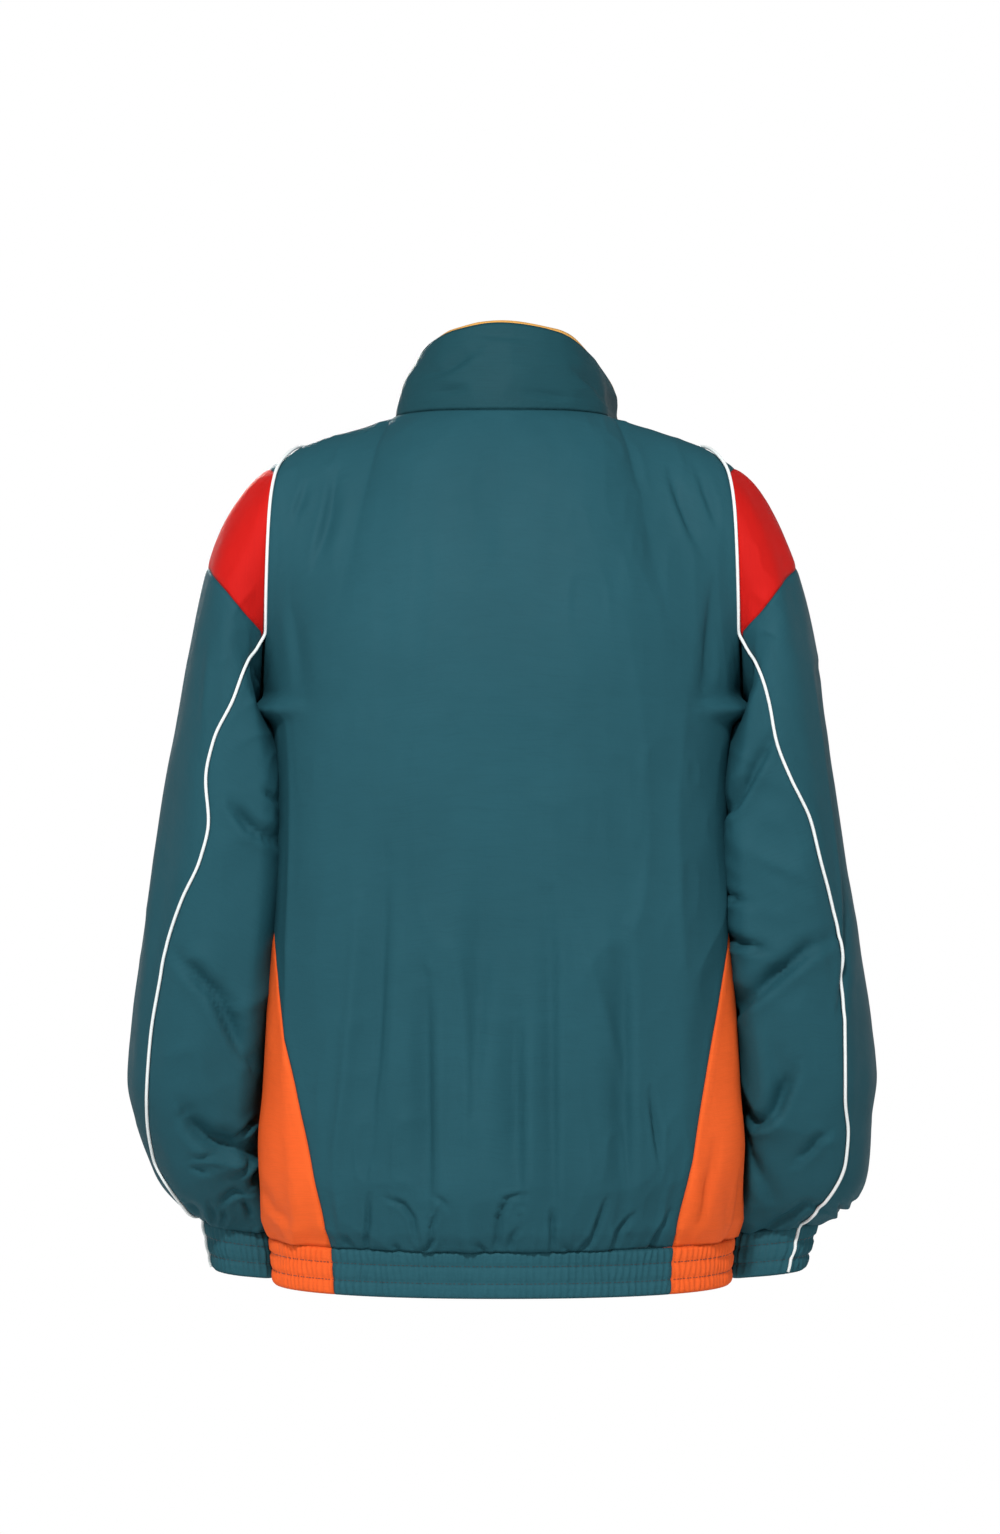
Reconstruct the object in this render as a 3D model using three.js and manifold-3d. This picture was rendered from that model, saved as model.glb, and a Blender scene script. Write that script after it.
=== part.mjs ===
// Track jacket: a hollow zip-front nylon jacket, in the form it takes when it is worn.
// Millimetres, +Z up. The front faces -Y and the wearer's left is +X.
// The origin is the middle of the neck opening, level with the collar's seam.
import * as THREE from 'three';
import { mergeVertices } from 'three/addons/utils/BufferGeometryUtils.js';
import Module from 'manifold-3d';

// Cloth and seams
const CLOTH = 1.5;
const FACING = 1.2;
const SEAM_GAP = 0.3;
const PIPING_RADIUS = 1.5;

// Heights, from the collar's seam
const HEM_BOTTOM = -698;
const HEM_TOP = -661;
const GUSSET_TIP = -375;
const UNDERARM = -232;

// The side line, where the front and the back meet, lies a little in front of the neck's middle
const SIDE_Y = -6;

// Zip: half of its width, and what each half is made of
const ZIP_HALF = 4;
const ZIP_TAPE = { inset: 0.6, width: 3.1, front: 0.2, behind: 2, cornerSpare: 1 };

// Horizontal sections of the body: half width, depth behind and before the side line, squareness,
// and how far the hanging arm presses the side in
const BODY_SECTIONS = [
  { z: -698, half: 183, back: 119, front: 129, square: 2.2, press: 0 },
  { z: -661, half: 186, back: 122, front: 132, square: 2.2, press: 0 },
  { z: -645, half: 193, back: 130, front: 141, square: 2.25, press: 2 },
  { z: -600, half: 200, back: 138, front: 149, square: 2.45, press: 11 },
  { z: -540, half: 199, back: 138, front: 151, square: 2.6, press: 15 },
  { z: -470, half: 194, back: 137, front: 152, square: 2.8, press: 14 },
  { z: -400, half: 187, back: 137, front: 152, square: 3, press: 16 },
  { z: -300, half: 184, back: 140, front: 152, square: 3, press: 15 },
  { z: -262, half: 187, back: 142, front: 151, square: 2.8, press: 9 },
  { z: -245, half: 190, back: 143, front: 150, square: 2.6, press: 3 },
  { z: -232, half: 192, back: 143, front: 149, square: 2.5, press: 0 },
];
const PRESS_WIDTH = 45;

// Side gusset's seam: how far it lies from the middle plane, and the height where it turns to its tip
const GUSSET_EDGE = [
  { z: -661, x: 134 },
  { z: -591, x: 148 },
  { z: -529, x: 160 },
  { z: -467, x: 172 },
  { z: -430, x: 178 },
];
const GUSSET_TURN = -430;

// The armhole, from the shoulder's ridge (0) round the back (90) to the underarm (180)
const ARMHOLE = { middleZ: -131, halfZ: 101, middleY: SIDE_Y, back: 78, front: 90, square: 2.15 };
const ARMHOLE_X = [
  { angle: 0, x: 157 },
  { angle: 20, x: 168 },
  { angle: 42, x: 178.5 },
  { angle: 65, x: 183 },
  { angle: 100, x: 186 },
  { angle: 118, x: 187 },
  { angle: 150, x: 190 },
  { angle: 180, x: 192 },
];

// Rings of the sleeve below the armhole: its outer and inner points, and its reach back and front
const SLEEVE_RINGS = [
  { outX: 199, outZ: -57, inX: 197, inZ: -237, back: 79, front: -94, square: 2.1 },
  { outX: 227, outZ: -103, inX: 190.5, inZ: -246, back: 84, front: -98, square: 2.1 },
  { outX: 242, outZ: -148, inX: 183, inZ: -259, back: 88, front: -100, square: 2.1 },
  { outX: 254, outZ: -205, inX: 177.5, inZ: -275, back: 89, front: -101, square: 2.1 },
  { outX: 263, outZ: -262, inX: 173.5, inZ: -297, back: 88, front: -101, square: 2.1 },
  { outX: 272, outZ: -320, inX: 173, inZ: -333, back: 85, front: -102, square: 2.1 },
  { outX: 281, outZ: -380, inX: 175, inZ: -384, back: 81, front: -104, square: 2.1 },
  { outX: 289, outZ: -436, inX: 180, inZ: -438, back: 76, front: -106, square: 2.1 },
  { outX: 296, outZ: -490, inX: 185, inZ: -490, back: 70, front: -108, square: 2.1 },
  { outX: 300, outZ: -536, inX: 190, inZ: -534, back: 61, front: -109, square: 2.1 },
  { outX: 294, outZ: -568, inX: 194, inZ: -566, back: 50, front: -108, square: 2.1 },
  { outX: 285, outZ: -598, inX: 195, inZ: -596, back: 36, front: -106, square: 2.1 },
  { outX: 274, outZ: -624, inX: 193.5, inZ: -622, back: 19, front: -103, square: 2.1 },
  { outX: 259, outZ: -642, inX: 189, inZ: -644, back: 0, front: -99, square: 2.1 },
  { outX: 242, outZ: -653, inX: 185.5, inZ: -661, back: -18, front: -92, square: 2.1 },
];
const CUFF_BOTTOM = { outX: 234, outZ: -693, inX: 183, inZ: -698, back: -20, front: -90, square: 2.1 };
const SLEEVE_END = SLEEVE_RINGS.length;

// The piped seam down the sleeve's back: how far it lies from the middle plane on each side
const PIPED_SEAM = [
  { z: -655, left: 243, right: 240 },
  { z: -624, left: 264, right: 258 },
  { z: -598, left: 278, right: 270 },
  { z: -565, left: 281, right: 273 },
  { z: -501, left: 277, right: 270 },
  { z: -453, left: 269, right: 269 },
  { z: -421, left: 262, right: 265 },
  { z: -390, left: 251, right: 258 },
  { z: -358, left: 236, right: 249 },
  { z: -327, left: 229, right: 241 },
  { z: -296, left: 231, right: 226 },
  { z: -265, left: 225, right: 214 },
  { z: -233, left: 210, right: 208 },
  { z: -202, left: 199, right: 198 },
  { z: -186, left: 189, right: 187 },
  { z: -170, left: 176, right: 174 },
];

// The red chevron over the shoulder: its corners on the armhole and on the shoulder's ridge
const CAP_CORNER = 42;
const CHEVRON_CORNER = 118;
const CAP_RIDGE = { x: 187, z: -46 };
const CHEVRON_RIDGE = { x: 235.5, z: -126 };
const CAP_TIP = 0.04;
const CHEVRON_TIP = 0.12;

// Neck seam from the middle of the back (0) over the shoulder seam (0.5) to the zip (1). The first
// row lies on the other side, so that the curve runs square through the middle of the back.
const NECK_SEAM = [
  { around: -0.25, x: -48, y: 45, z: -3.5 },
  { around: 0, x: 0, y: 58, z: -4 },
  { around: 0.25, x: 48, y: 45, z: -3.5 },
  { around: 0.5, x: 85, y: 3, z: -6 },
  { around: 0.75, x: 79, y: -52, z: -34 },
  { around: 1, x: 44, y: -98, z: -72 },
];

// Top edge of the collar, worn open, so that its front ends fall outwards
const COLLAR_TOP = {
  left: [
    { around: -0.25, x: -40, y: 28, z: 60 },
    { around: 0, x: 0, y: 38, z: 66 },
    { around: 0.25, x: 40, y: 28, z: 60 },
    { around: 0.5, x: 67, y: -8, z: 43 },
    { around: 0.75, x: 77, y: -66, z: 12 },
    { around: 1, x: 76, y: -126, z: -26 },
  ],
  right: [
    { around: -0.25, x: -43, y: 28, z: 60 },
    { around: 0, x: 0, y: 38, z: 66 },
    { around: 0.25, x: 43, y: 28, z: 60 },
    { around: 0.5, x: 76, y: -12, z: 40 },
    { around: 0.75, x: 94, y: -66, z: 8 },
    { around: 1, x: 96, y: -122, z: -24 },
  ],
};
const COLLAR_ROLL = 3;
const COLLAR_GAP = 0.8;
const COLLAR_RISES = [0.01, 0.25, 0.5, 0.75, 1];
const FACING_RISES = [0.1, 0.25, 0.5, 0.75, 1.025];

// Ribs of the elastic and gathers beside it: 100 in the hem, 48 in the cuffs, 52 in the cloth
const RIB_HEIGHT = 1.2;
const HEM_RIBS = { back: 28, side: 24, front: 12 };
const CUFF_RIBS = 24;
const GATHER_HEIGHT = 3;
const GATHER_LENGTH = 60;

// Largest folds: straight lines seen from behind, pushed in by their depth
const BACK_FOLDS = [
  { x1: 145, z1: -70, x2: 133, z2: -130, width: 16, depth: 4 },
  { x1: -145, z1: -70, x2: -128, z2: -130, width: 16, depth: 4 },
  { x1: 90, z1: -470, x2: 94, z2: -630, width: 16, depth: -5 },
  { x1: 66, z1: -500, x2: 64, z2: -640, width: 16, depth: 5 },
  { x1: -2, z1: -520, x2: -4, z2: -640, width: 18, depth: 4 },
  { x1: -32, z1: -520, x2: -30, z2: -645, width: 16, depth: -4 },
  { x1: -90, z1: -500, x2: -92, z2: -645, width: 16, depth: 5 },
  { x1: -116, z1: -530, x2: -124, z2: -600, width: 16, depth: -4 },
];
const SLEEVE_FOLDS = [
  { x1: 184, z1: -350, x2: 224, z2: -318, width: 24, depth: 6 },
  { x1: 262, z1: -440, x2: 206, z2: -515, width: 24, depth: 6 },
  { x1: 262, z1: -566, x2: 196, z2: -596, width: 22, depth: 6 },
  { x1: 285, z1: -500, x2: 240, z2: -560, width: 24, depth: -4 },
];

// Rows and columns of the panels
const BODY_LEVELS = [-661, -645, -622, -590, -550, -505, -460, -415, -375, -335, -298, -265, -246];
const ARMHOLE_STATIONS = [180, 164, 148, 133, 118, 99, 80, 61, 42, 28, 14, 0];
const SHOULDER_COLUMNS = 5;
const NECK_COLUMNS = 7;
const HALF_COLUMNS = SHOULDER_COLUMNS + NECK_COLUMNS;
const GUSSET_COLUMNS = 6;

// Colours and finishes
const nylon = (colour) => new THREE.MeshStandardMaterial({ color: colour, roughness: 0.55, metalness: 0 });
const TEAL = nylon(0x2e5b67);
const RED = nylon(0xd42724);
const ORANGE = nylon(0xfc6933);
const YELLOW = nylon(0xf3b45f);
const WHITE = nylon(0xf4fdfc);
const COIL = new THREE.MeshStandardMaterial({ color: 0x2e5b67, roughness: 0.5, metalness: 0 });
const METAL = new THREE.MeshStandardMaterial({ color: 0xb9bcc0, roughness: 0.35, metalness: 1 });

const point = (x, y, z) => new THREE.Vector3(x, y, z);
const radians = THREE.MathUtils.degToRad;
const mix = (a, b, share) => a.clone().lerp(b, share);
const signedPower = (value, power) => Math.sign(value) * Math.abs(value) ** power;
const steps = (count) => Array.from({ length: count + 1 }, (_, i) => i / count);

// Value of one column of a table at a place, on a smooth curve that never overshoots its rows
function tableValue(rows, key, name, at) {
  const last = rows.length - 1;
  const rise = (i) => (rows[i + 1][name] - rows[i][name]) / (rows[i + 1][key] - rows[i][key]);
  const slope = (i) => {
    if (i === 0) return rise(0);
    if (i === last) return rise(last - 1);
    const before = rise(i - 1);
    const after = rise(i);
    return before * after <= 0 ? 0 : (2 * before * after) / (before + after);
  };
  let i = 0;
  while (i < last - 1 && at > rows[i + 1][key]) i += 1;
  const span = rows[i + 1][key] - rows[i][key];
  const t = THREE.MathUtils.clamp((at - rows[i][key]) / span, 0, 1);
  const bend = t * t * (3 - 2 * t);
  const leave = t * (1 - t) * (1 - t) * span * slope(i);
  const arrive = t * t * (t - 1) * span * slope(i + 1);
  return rows[i][name] * (1 - bend) + rows[i + 1][name] * bend + leave + arrive;
}

// How far a point, seen from behind, is pushed in by folds
function foldDepth(folds, x, z) {
  let depth = 0;
  for (const fold of folds) {
    const runX = fold.x2 - fold.x1;
    const runZ = fold.z2 - fold.z1;
    const share = ((x - fold.x1) * runX + (z - fold.z1) * runZ) / (runX * runX + runZ * runZ);
    const near = THREE.MathUtils.clamp(share, 0, 1);
    const away = Math.hypot(x - fold.x1 - near * runX, z - fold.z1 - near * runZ);
    depth += fold.depth * Math.exp(-((away / fold.width) ** 2));
  }
  return depth;
}

// Body below the armhole: the angle runs from the left side (0) over the middle of the back (90)
function bodySection(angle, z) {
  const half = tableValue(BODY_SECTIONS, 'z', 'half', z);
  const power = 2 / tableValue(BODY_SECTIONS, 'z', 'square', z);
  const depth = tableValue(BODY_SECTIONS, 'z', angle >= 0 ? 'back' : 'front', z);
  const along = depth * signedPower(Math.sin(radians(angle)), power);
  const press = tableValue(BODY_SECTIONS, 'z', 'press', z) * Math.exp(-((along / PRESS_WIDTH) ** 2));
  const across = half * signedPower(Math.cos(radians(angle)), power) - press;
  return point(across, SIDE_Y + along, z);
}

// Angle of the gusset's seam round the body, found where the body is as wide as the seam lies
function gussetAngle(z) {
  if (z >= GUSSET_TURN) {
    const share = Math.max((GUSSET_TIP - z) / (GUSSET_TIP - GUSSET_TURN), 0);
    return share === 0 ? 0 : share * gussetAngle(GUSSET_TURN - 0.01);
  }
  const seam = tableValue(GUSSET_EDGE, 'z', 'x', z);
  let near = 12;
  let far = 90;
  for (let i = 0; i < 24; i += 1) {
    const middle = (near + far) / 2;
    if (bodySection(middle, z).x > seam) near = middle;
    else far = middle;
  }
  return near;
}

// One column of the body, from the gusset's edge or the side (0) to the middle (1); the front
// stops at the zip
function lowerBody(face, column, z) {
  const edge = gussetAngle(z);
  const angle = edge + (90 - edge) * column;
  if (face === 'back') return bodySection(angle, z);
  return bodySection(-angle, z).add(point(ZIP_HALF * column, 0, 0));
}

function armholePoint(angle) {
  const turn = radians(angle);
  const power = 2 / ARMHOLE.square;
  const along = signedPower(Math.sin(turn), power);
  const reach = along > 0 ? ARMHOLE.back : ARMHOLE.front;
  const around = angle > 180 ? 360 - angle : Math.abs(angle);
  const z = ARMHOLE.middleZ + ARMHOLE.halfZ * signedPower(Math.cos(turn), power);
  return point(tableValue(ARMHOLE_X, 'angle', 'x', around), ARMHOLE.middleY + reach * along, z);
}

function neckSeam(around) {
  const value = (name) => tableValue(NECK_SEAM, 'around', name, around);
  return point(value('x'), value('y'), value('z'));
}

// Top of a body panel: the shoulder seam from the armhole to the neck, then the neck seam
const SHOULDER_SHARE = SHOULDER_COLUMNS / HALF_COLUMNS;
function neckPlace(face, column) {
  const share = (column - SHOULDER_SHARE) / (1 - SHOULDER_SHARE);
  return face === 'back' ? 0.5 - 0.5 * share : 0.5 + 0.5 * share;
}
function bodyTop(face, column) {
  if (column > SHOULDER_SHARE) return neckSeam(neckPlace(face, column));
  return mix(armholePoint(0), neckSeam(0.5), column / SHOULDER_SHARE);
}

// A smooth curve between two points with given directions at its ends
function hermite(start, leave, end, arrive, t) {
  const bend = t * t * (3 - 2 * t);
  const place = mix(start, end, bend);
  place.addScaledVector(leave, t * (1 - t) * (1 - t));
  place.addScaledVector(arrive, t * t * (t - 1));
  return place;
}

// Body above the underarm: upright at the underarm's level and leaning over to the shoulder. Its
// side edge is the armhole, so its columns crowd towards the middle as the armhole opens.
const TOP_LEAN = { back: { shoulder: 8, neck: 48 }, front: { shoulder: 8, neck: 62 } };
function upperStart(face, column, rise) {
  const side = face === 'back' ? 1 : -1;
  const edgeY = armholePoint(side * 180 * (1 - Math.min(rise, 0.5))).y - SIDE_Y;
  const depth = tableValue(BODY_SECTIONS, 'z', face, UNDERARM);
  const power = tableValue(BODY_SECTIONS, 'z', 'square', UNDERARM) / 2;
  const edge = THREE.MathUtils.radToDeg(Math.asin(Math.abs(edgeY / depth) ** power));
  const start = bodySection(side * (edge + (90 - edge) * column), UNDERARM);
  return face === 'back' ? start : start.add(point(ZIP_HALF * column, 0, 0));
}

function upperColumn(face, column, rise) {
  const start = upperStart(face, column, rise);
  const end = bodyTop(face, column);
  const height = end.z - start.z;
  const lean = TOP_LEAN[face];
  const angle = radians(lean.shoulder + (lean.neck - lean.shoulder) * column * column);
  const inward = face === 'back' ? -1 : 1;
  const reach = 1.25 * (Math.abs(end.y - start.y) + 0.3 * height);
  const leave = point(0, 0, height * 1.15);
  const arrive = point((end.x - start.x) * 0.9, inward * Math.cos(angle) * reach, Math.sin(angle) * reach);
  return hermite(start, leave, end, arrive, (1 - Math.cos(Math.PI * rise)) / 2);
}

function upperBody(face, column, rise) {
  const side = face === 'back' ? 1 : -1;
  const pull = armholePoint(side * 180 * (1 - rise)).sub(upperColumn(face, 0, rise));
  return upperColumn(face, column, rise).addScaledVector(pull, (1 - column) ** 3);
}

// A body place: level from 0 at the hem's seam to 1 at the underarm, then to 2 at the shoulder
const levelOf = (z) => (z - HEM_TOP) / (UNDERARM - HEM_TOP);
function bodyBase(face, column, level) {
  if (level > 1) return upperBody(face, column, level - 1);
  return lowerBody(face, column, HEM_TOP + level * (UNDERARM - HEM_TOP));
}

// Outward direction of a surface given by two running values
function outward(surface, a, b, from, limits) {
  const step = 0.004;
  const a0 = Math.max(a - step, limits.a[0]);
  const a1 = Math.min(a + step, limits.a[1]);
  const b0 = Math.max(b - step, limits.b[0]);
  const b1 = Math.min(b + step, limits.b[1]);
  const alongA = surface(a1, b).sub(surface(a0, b));
  const alongB = surface(a, b1).sub(surface(a, b0));
  const normal = alongA.cross(alongB).normalize();
  if (normal.dot(surface(a, b).sub(from)) < 0) normal.negate();
  return normal;
}

const BODY_LIMITS = { a: [0, 1], b: [0, 2] };
function bodyNormal(face, column, level) {
  const surface = (c, l) => bodyBase(face, c, l);
  const height = Math.min(bodyBase(face, column, level).z, -150);
  const normal = outward(surface, column, level, point(60, SIDE_Y, height), BODY_LIMITS);
  return column === 1 && face === 'back' ? normal.setX(0).normalize() : normal;
}

// Sleeve: the turn goes from the shoulder's ridge (0) over the back (90) to the inside (180)
function sleeveRing(ring, turn) {
  const power = 2 / ring.square;
  const across = signedPower(Math.cos(radians(turn)), power);
  const along = signedPower(Math.sin(radians(turn)), power);
  return point(
    (ring.outX + ring.inX) / 2 + (across * (ring.outX - ring.inX)) / 2,
    (ring.back + ring.front) / 2 + (along * (ring.back - ring.front)) / 2,
    (ring.outZ + ring.inZ) / 2 + (across * (ring.outZ - ring.inZ)) / 2,
  );
}

function sleeveBase(turn, reach) {
  const ringPoint = (k) => (k === 0 ? armholePoint(turn) : sleeveRing(SLEEVE_RINGS[k - 1], turn));
  const first = Math.min(Math.floor(reach), SLEEVE_END - 1);
  const rows = [];
  for (let k = Math.max(first - 1, 0); k <= Math.min(first + 2, SLEEVE_END); k += 1) {
    rows.push({ k, ...ringPoint(k) });
  }
  const value = (name) => tableValue(rows, 'k', name, reach);
  return point(value('x'), value('y'), value('z'));
}

function sleeveMiddle(reach) {
  return mix(sleeveBase(0, reach), sleeveBase(180, reach), 0.5);
}

const SLEEVE_LIMITS = { a: [-1e9, 1e9], b: [0, SLEEVE_END] };
function sleeveNormal(turn, reach) {
  const surface = (a, b) => sleeveBase(a * 90, b);
  return outward(surface, turn / 90, reach, sleeveMiddle(reach), SLEEVE_LIMITS);
}

// Collar: half of it from the middle of the back (0) to its front end (1), and up from its seam
function collarBase(side, around, rise) {
  const value = (name) => tableValue(COLLAR_TOP[side], 'around', name, around);
  const bottom = neckSeam(around);
  const place = mix(bottom, point(value('x'), value('y'), value('z')), rise);
  const roll = COLLAR_ROLL * 4 * rise * (1 - rise);
  return place.add(point(place.x, place.y + 20, 0).normalize().multiplyScalar(roll));
}

function collarNormal(side, around, rise) {
  const surface = (a, b) => collarBase(side, a, b);
  const limits = { a: [0, 1], b: [0, 1] };
  const normal = outward(surface, around, rise, point(0, -20 - 60 * around, 0), limits);
  return around === 0 ? normal.setX(0).normalize() : normal;
}

// Offset to the inner face at a seam, shared by the two cloths that meet there
function mitre(first, second, thickness = CLOTH) {
  const sum = first.clone().add(second);
  return sum.multiplyScalar(-thickness / Math.max(1 + first.dot(second), 0.6));
}

const average = (...normals) => normals.reduce((sum, n) => sum.add(n), point(0, 0, 0)).normalize();

// Inner offsets along the armhole, the shoulder seam and the neck seam
function armholeOffset(angle) {
  const face = angle >= 0 && angle <= 180 ? 'back' : 'front';
  const around = angle > 180 ? 360 - angle : Math.abs(angle);
  const level = 2 - around / 180;
  const body = around === 0 || around === 180
    ? average(bodyNormal('back', 0, level), bodyNormal('front', 0, level))
    : bodyNormal(face, 0, level);
  return mitre(body, sleeveNormal(angle, 0));
}

function shoulderOffset(column) {
  const edge = average(bodyNormal('back', column, 2), bodyNormal('front', column, 2));
  return edge.multiplyScalar(-CLOTH);
}

function neckOffset(side, around) {
  const face = around <= 0.5 ? 'back' : 'front';
  const share = Math.abs(around - 0.5) * 2;
  const column = SHOULDER_SHARE + (1 - SHOULDER_SHARE) * share;
  const body = around === 0.5
    ? average(bodyNormal('back', SHOULDER_SHARE, 2), bodyNormal('front', SHOULDER_SHARE, 2))
    : bodyNormal(face, column, 2);
  return mitre(body, collarNormal(side, around, 0));
}

// Keeps an offset in the level plane of a straight elastic seam
function levelOffset(normal) {
  return point(normal.x, normal.y, 0).normalize().multiplyScalar(-CLOTH);
}

// Outer and inner point of a body panel at one place of its grid
const mirror = (place, side) => (side === 'right' ? place.clone().setX(-place.x) : place);
function bodyPlace(face, side, column, level, gather) {
  const base = bodyBase(face, column, level);
  const normal = bodyNormal(face, column, level);
  let offset = normal.clone().multiplyScalar(-CLOTH);
  if (level === 0) offset = levelOffset(normal);
  if (level >= 1 && column === 0) offset = armholeOffset((face === 'back' ? 180 : -180) * (2 - level));
  if (level === 2 && column > 0 && column < SHOULDER_SHARE) offset = shoulderOffset(column);
  if (level === 2 && column >= SHOULDER_SHARE) offset = neckOffset(side, neckPlace(face, column));
  const seen = mirror(base, side);
  const edge = THREE.MathUtils.clamp(Math.min(column, 2 - level) * 6, 0, 1);
  const pushed = face === 'back' ? foldDepth(BACK_FOLDS, seen.x, seen.z) * edge : 0;
  base.addScaledVector(normal, level === 0 ? 0 : -pushed);
  const raised = gather && level > 0 ? gatherHeight(base.z - HEM_TOP) : 0;
  return {
    outer: mirror(base.clone().addScaledVector(normal, raised), side),
    inner: mirror(base.clone().add(offset), side),
  };
}

const gatherHeight = (above) => GATHER_HEIGHT * Math.max(0, 1 - above / GATHER_LENGTH) ** 1.5;

// Outer and inner point of the sleeve
function sleevePlace(side, turn, reach, gather) {
  const base = sleeveBase(turn, reach);
  const normal = sleeveNormal(turn, reach);
  let offset = normal.clone().multiplyScalar(-CLOTH);
  if (reach === 0) offset = armholeOffset(turn);
  if (reach === SLEEVE_END) offset = cuffOffset(turn, 0);
  const facing = Math.abs(Math.sin(radians(turn)));
  const free = THREE.MathUtils.clamp(Math.min(reach - 1, SLEEVE_END - reach), 0, 1);
  base.addScaledVector(normal, -foldDepth(SLEEVE_FOLDS, base.x, base.z) * facing * free);
  const raised = gather && free > 0 ? gatherHeight((SLEEVE_END - reach) * 20) : 0;
  return {
    outer: mirror(base.clone().addScaledVector(normal, raised), side),
    inner: mirror(base.clone().add(offset), side),
  };
}

// Cuff: a short elastic tube from the sleeve's end
function cuffBase(turn, down) {
  const top = sleeveRing(SLEEVE_RINGS[SLEEVE_END - 1], turn);
  return mix(top, sleeveRing(CUFF_BOTTOM, turn), down);
}

// Its walls are offset inside the plane of its ring
function cuffOffset(turn, down) {
  const step = 2;
  const run = cuffBase(turn + step, down).sub(cuffBase(turn - step, down));
  const axis = cuffBase(0, down).sub(cuffBase(180, down)).cross(point(0, 1, 0));
  const normal = run.cross(axis).normalize();
  const middle = mix(cuffBase(0, down), cuffBase(180, down), 0.5);
  if (normal.dot(cuffBase(turn, down).sub(middle)) > 0) normal.negate();
  return normal.multiplyScalar(CLOTH);
}

// Moves the edges of a grid inwards by half of the seam's gap, square to each edge
function insetEdges(grid, closed) {
  const rows = grid.length;
  const columns = grid[0].length;
  const shift = (place, next, before, after) => {
    const edge = after.clone().sub(before).normalize();
    const way = next.clone().sub(place);
    way.addScaledVector(edge, -way.dot(edge));
    const length = way.length();
    return length > 2 * SEAM_GAP ? way.multiplyScalar(SEAM_GAP / 2 / length) : point(0, 0, 0);
  };
  const moves = [];
  for (const [i, inside] of [[0, 1], [rows - 1, rows - 2]]) {
    for (let j = 0; j < columns; j += 1) {
      const before = closed ? (j + columns - 1) % columns : Math.max(j - 1, 0);
      const after = closed ? (j + 1) % columns : Math.min(j + 1, columns - 1);
      moves.push([grid[i][j], shift(grid[i][j], grid[inside][j], grid[i][before], grid[i][after])]);
    }
  }
  for (const [j, inside] of closed ? [] : [[0, 1], [columns - 1, columns - 2]]) {
    for (let i = 0; i < rows; i += 1) {
      const before = grid[Math.max(i - 1, 0)][j];
      const after = grid[Math.min(i + 1, rows - 1)][j];
      moves.push([grid[i][j], shift(grid[i][j], grid[i][inside], before, after)]);
    }
  }
  for (const [place, move] of moves) place.add(move);
}

// A closed wall of cloth from a grid of places, each with an outer and an inner point
function wall(places, closed = false) {
  const outer = places.map((row) => row.map((place) => place.outer));
  const inner = places.map((row) => row.map((place) => place.inner));
  insetEdges(outer, closed);
  insetEdges(inner, closed);
  const rows = outer.length;
  const columns = outer[0].length;
  const quads = [];
  const lastColumn = closed ? columns : columns - 1;
  for (let i = 0; i < rows - 1; i += 1) {
    for (let j = 0; j < lastColumn; j += 1) {
      const k = (j + 1) % columns;
      quads.push([outer[i][j], outer[i][k], outer[i + 1][k], outer[i + 1][j]]);
      quads.push([inner[i][j], inner[i + 1][j], inner[i + 1][k], inner[i][k]]);
    }
    if (!closed) {
      const end = columns - 1;
      quads.push([outer[i][0], outer[i + 1][0], inner[i + 1][0], inner[i][0]]);
      quads.push([outer[i][end], inner[i][end], inner[i + 1][end], outer[i + 1][end]]);
    }
  }
  for (let j = 0; j < lastColumn; j += 1) {
    const k = (j + 1) % columns;
    const top = rows - 1;
    quads.push([outer[0][j], inner[0][j], inner[0][k], outer[0][k]]);
    quads.push([outer[top][j], outer[top][k], inner[top][k], inner[top][j]]);
  }
  return solidFromQuads(quads);
}

// Triangles from four-cornered faces, turned so that they all point out
function solidFromQuads(quads) {
  const triangles = quads.flatMap(([a, b, c, d]) => [[a, b, c], [a, c, d]]);
  const volume = triangles.reduce((sum, [a, b, c]) => sum + a.dot(b.clone().cross(c)), 0);
  const corners = triangles.flatMap(([a, b, c]) => (volume < 0 ? [a, c, b] : [a, b, c]));
  const geometry = new THREE.BufferGeometry();
  geometry.setAttribute('position', new THREE.Float32BufferAttribute(
    corners.flatMap((corner) => [corner.x, corner.y, corner.z]), 3));
  return mergeVertices(geometry, 1e-4);
}

const jacket = new THREE.Group();
function add(name, geometry, material) {
  const mesh = new THREE.Mesh(geometry, material);
  mesh.name = name;
  jacket.add(mesh);
  return mesh;
}

const LEVELS = [
  ...BODY_LEVELS.map(levelOf),
  ...ARMHOLE_STATIONS.map((angle) => 2 - angle / 180),
];
const HALF = steps(HALF_COLUMNS);

// One panel from side to side for the back, with every other column gathered above the hem
function backPanel() {
  const places = LEVELS.map((level) => {
    const left = HALF.map((c, j) => bodyPlace('back', 'left', c, level, j % 2 === 1));
    const right = HALF.map((c, j) => bodyPlace('back', 'right', c, level, j % 2 === 1));
    return [...left, ...right.slice(0, -1).reverse()];
  });
  add('back_panel', wall(places), TEAL);
}

function frontPanel(side) {
  const places = LEVELS.map((level) => (
    HALF.map((c, j) => bodyPlace('front', side, c, level, j % 2 === 1))
  ));
  add(`front_${side}`, wall(places), TEAL);
}

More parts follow.
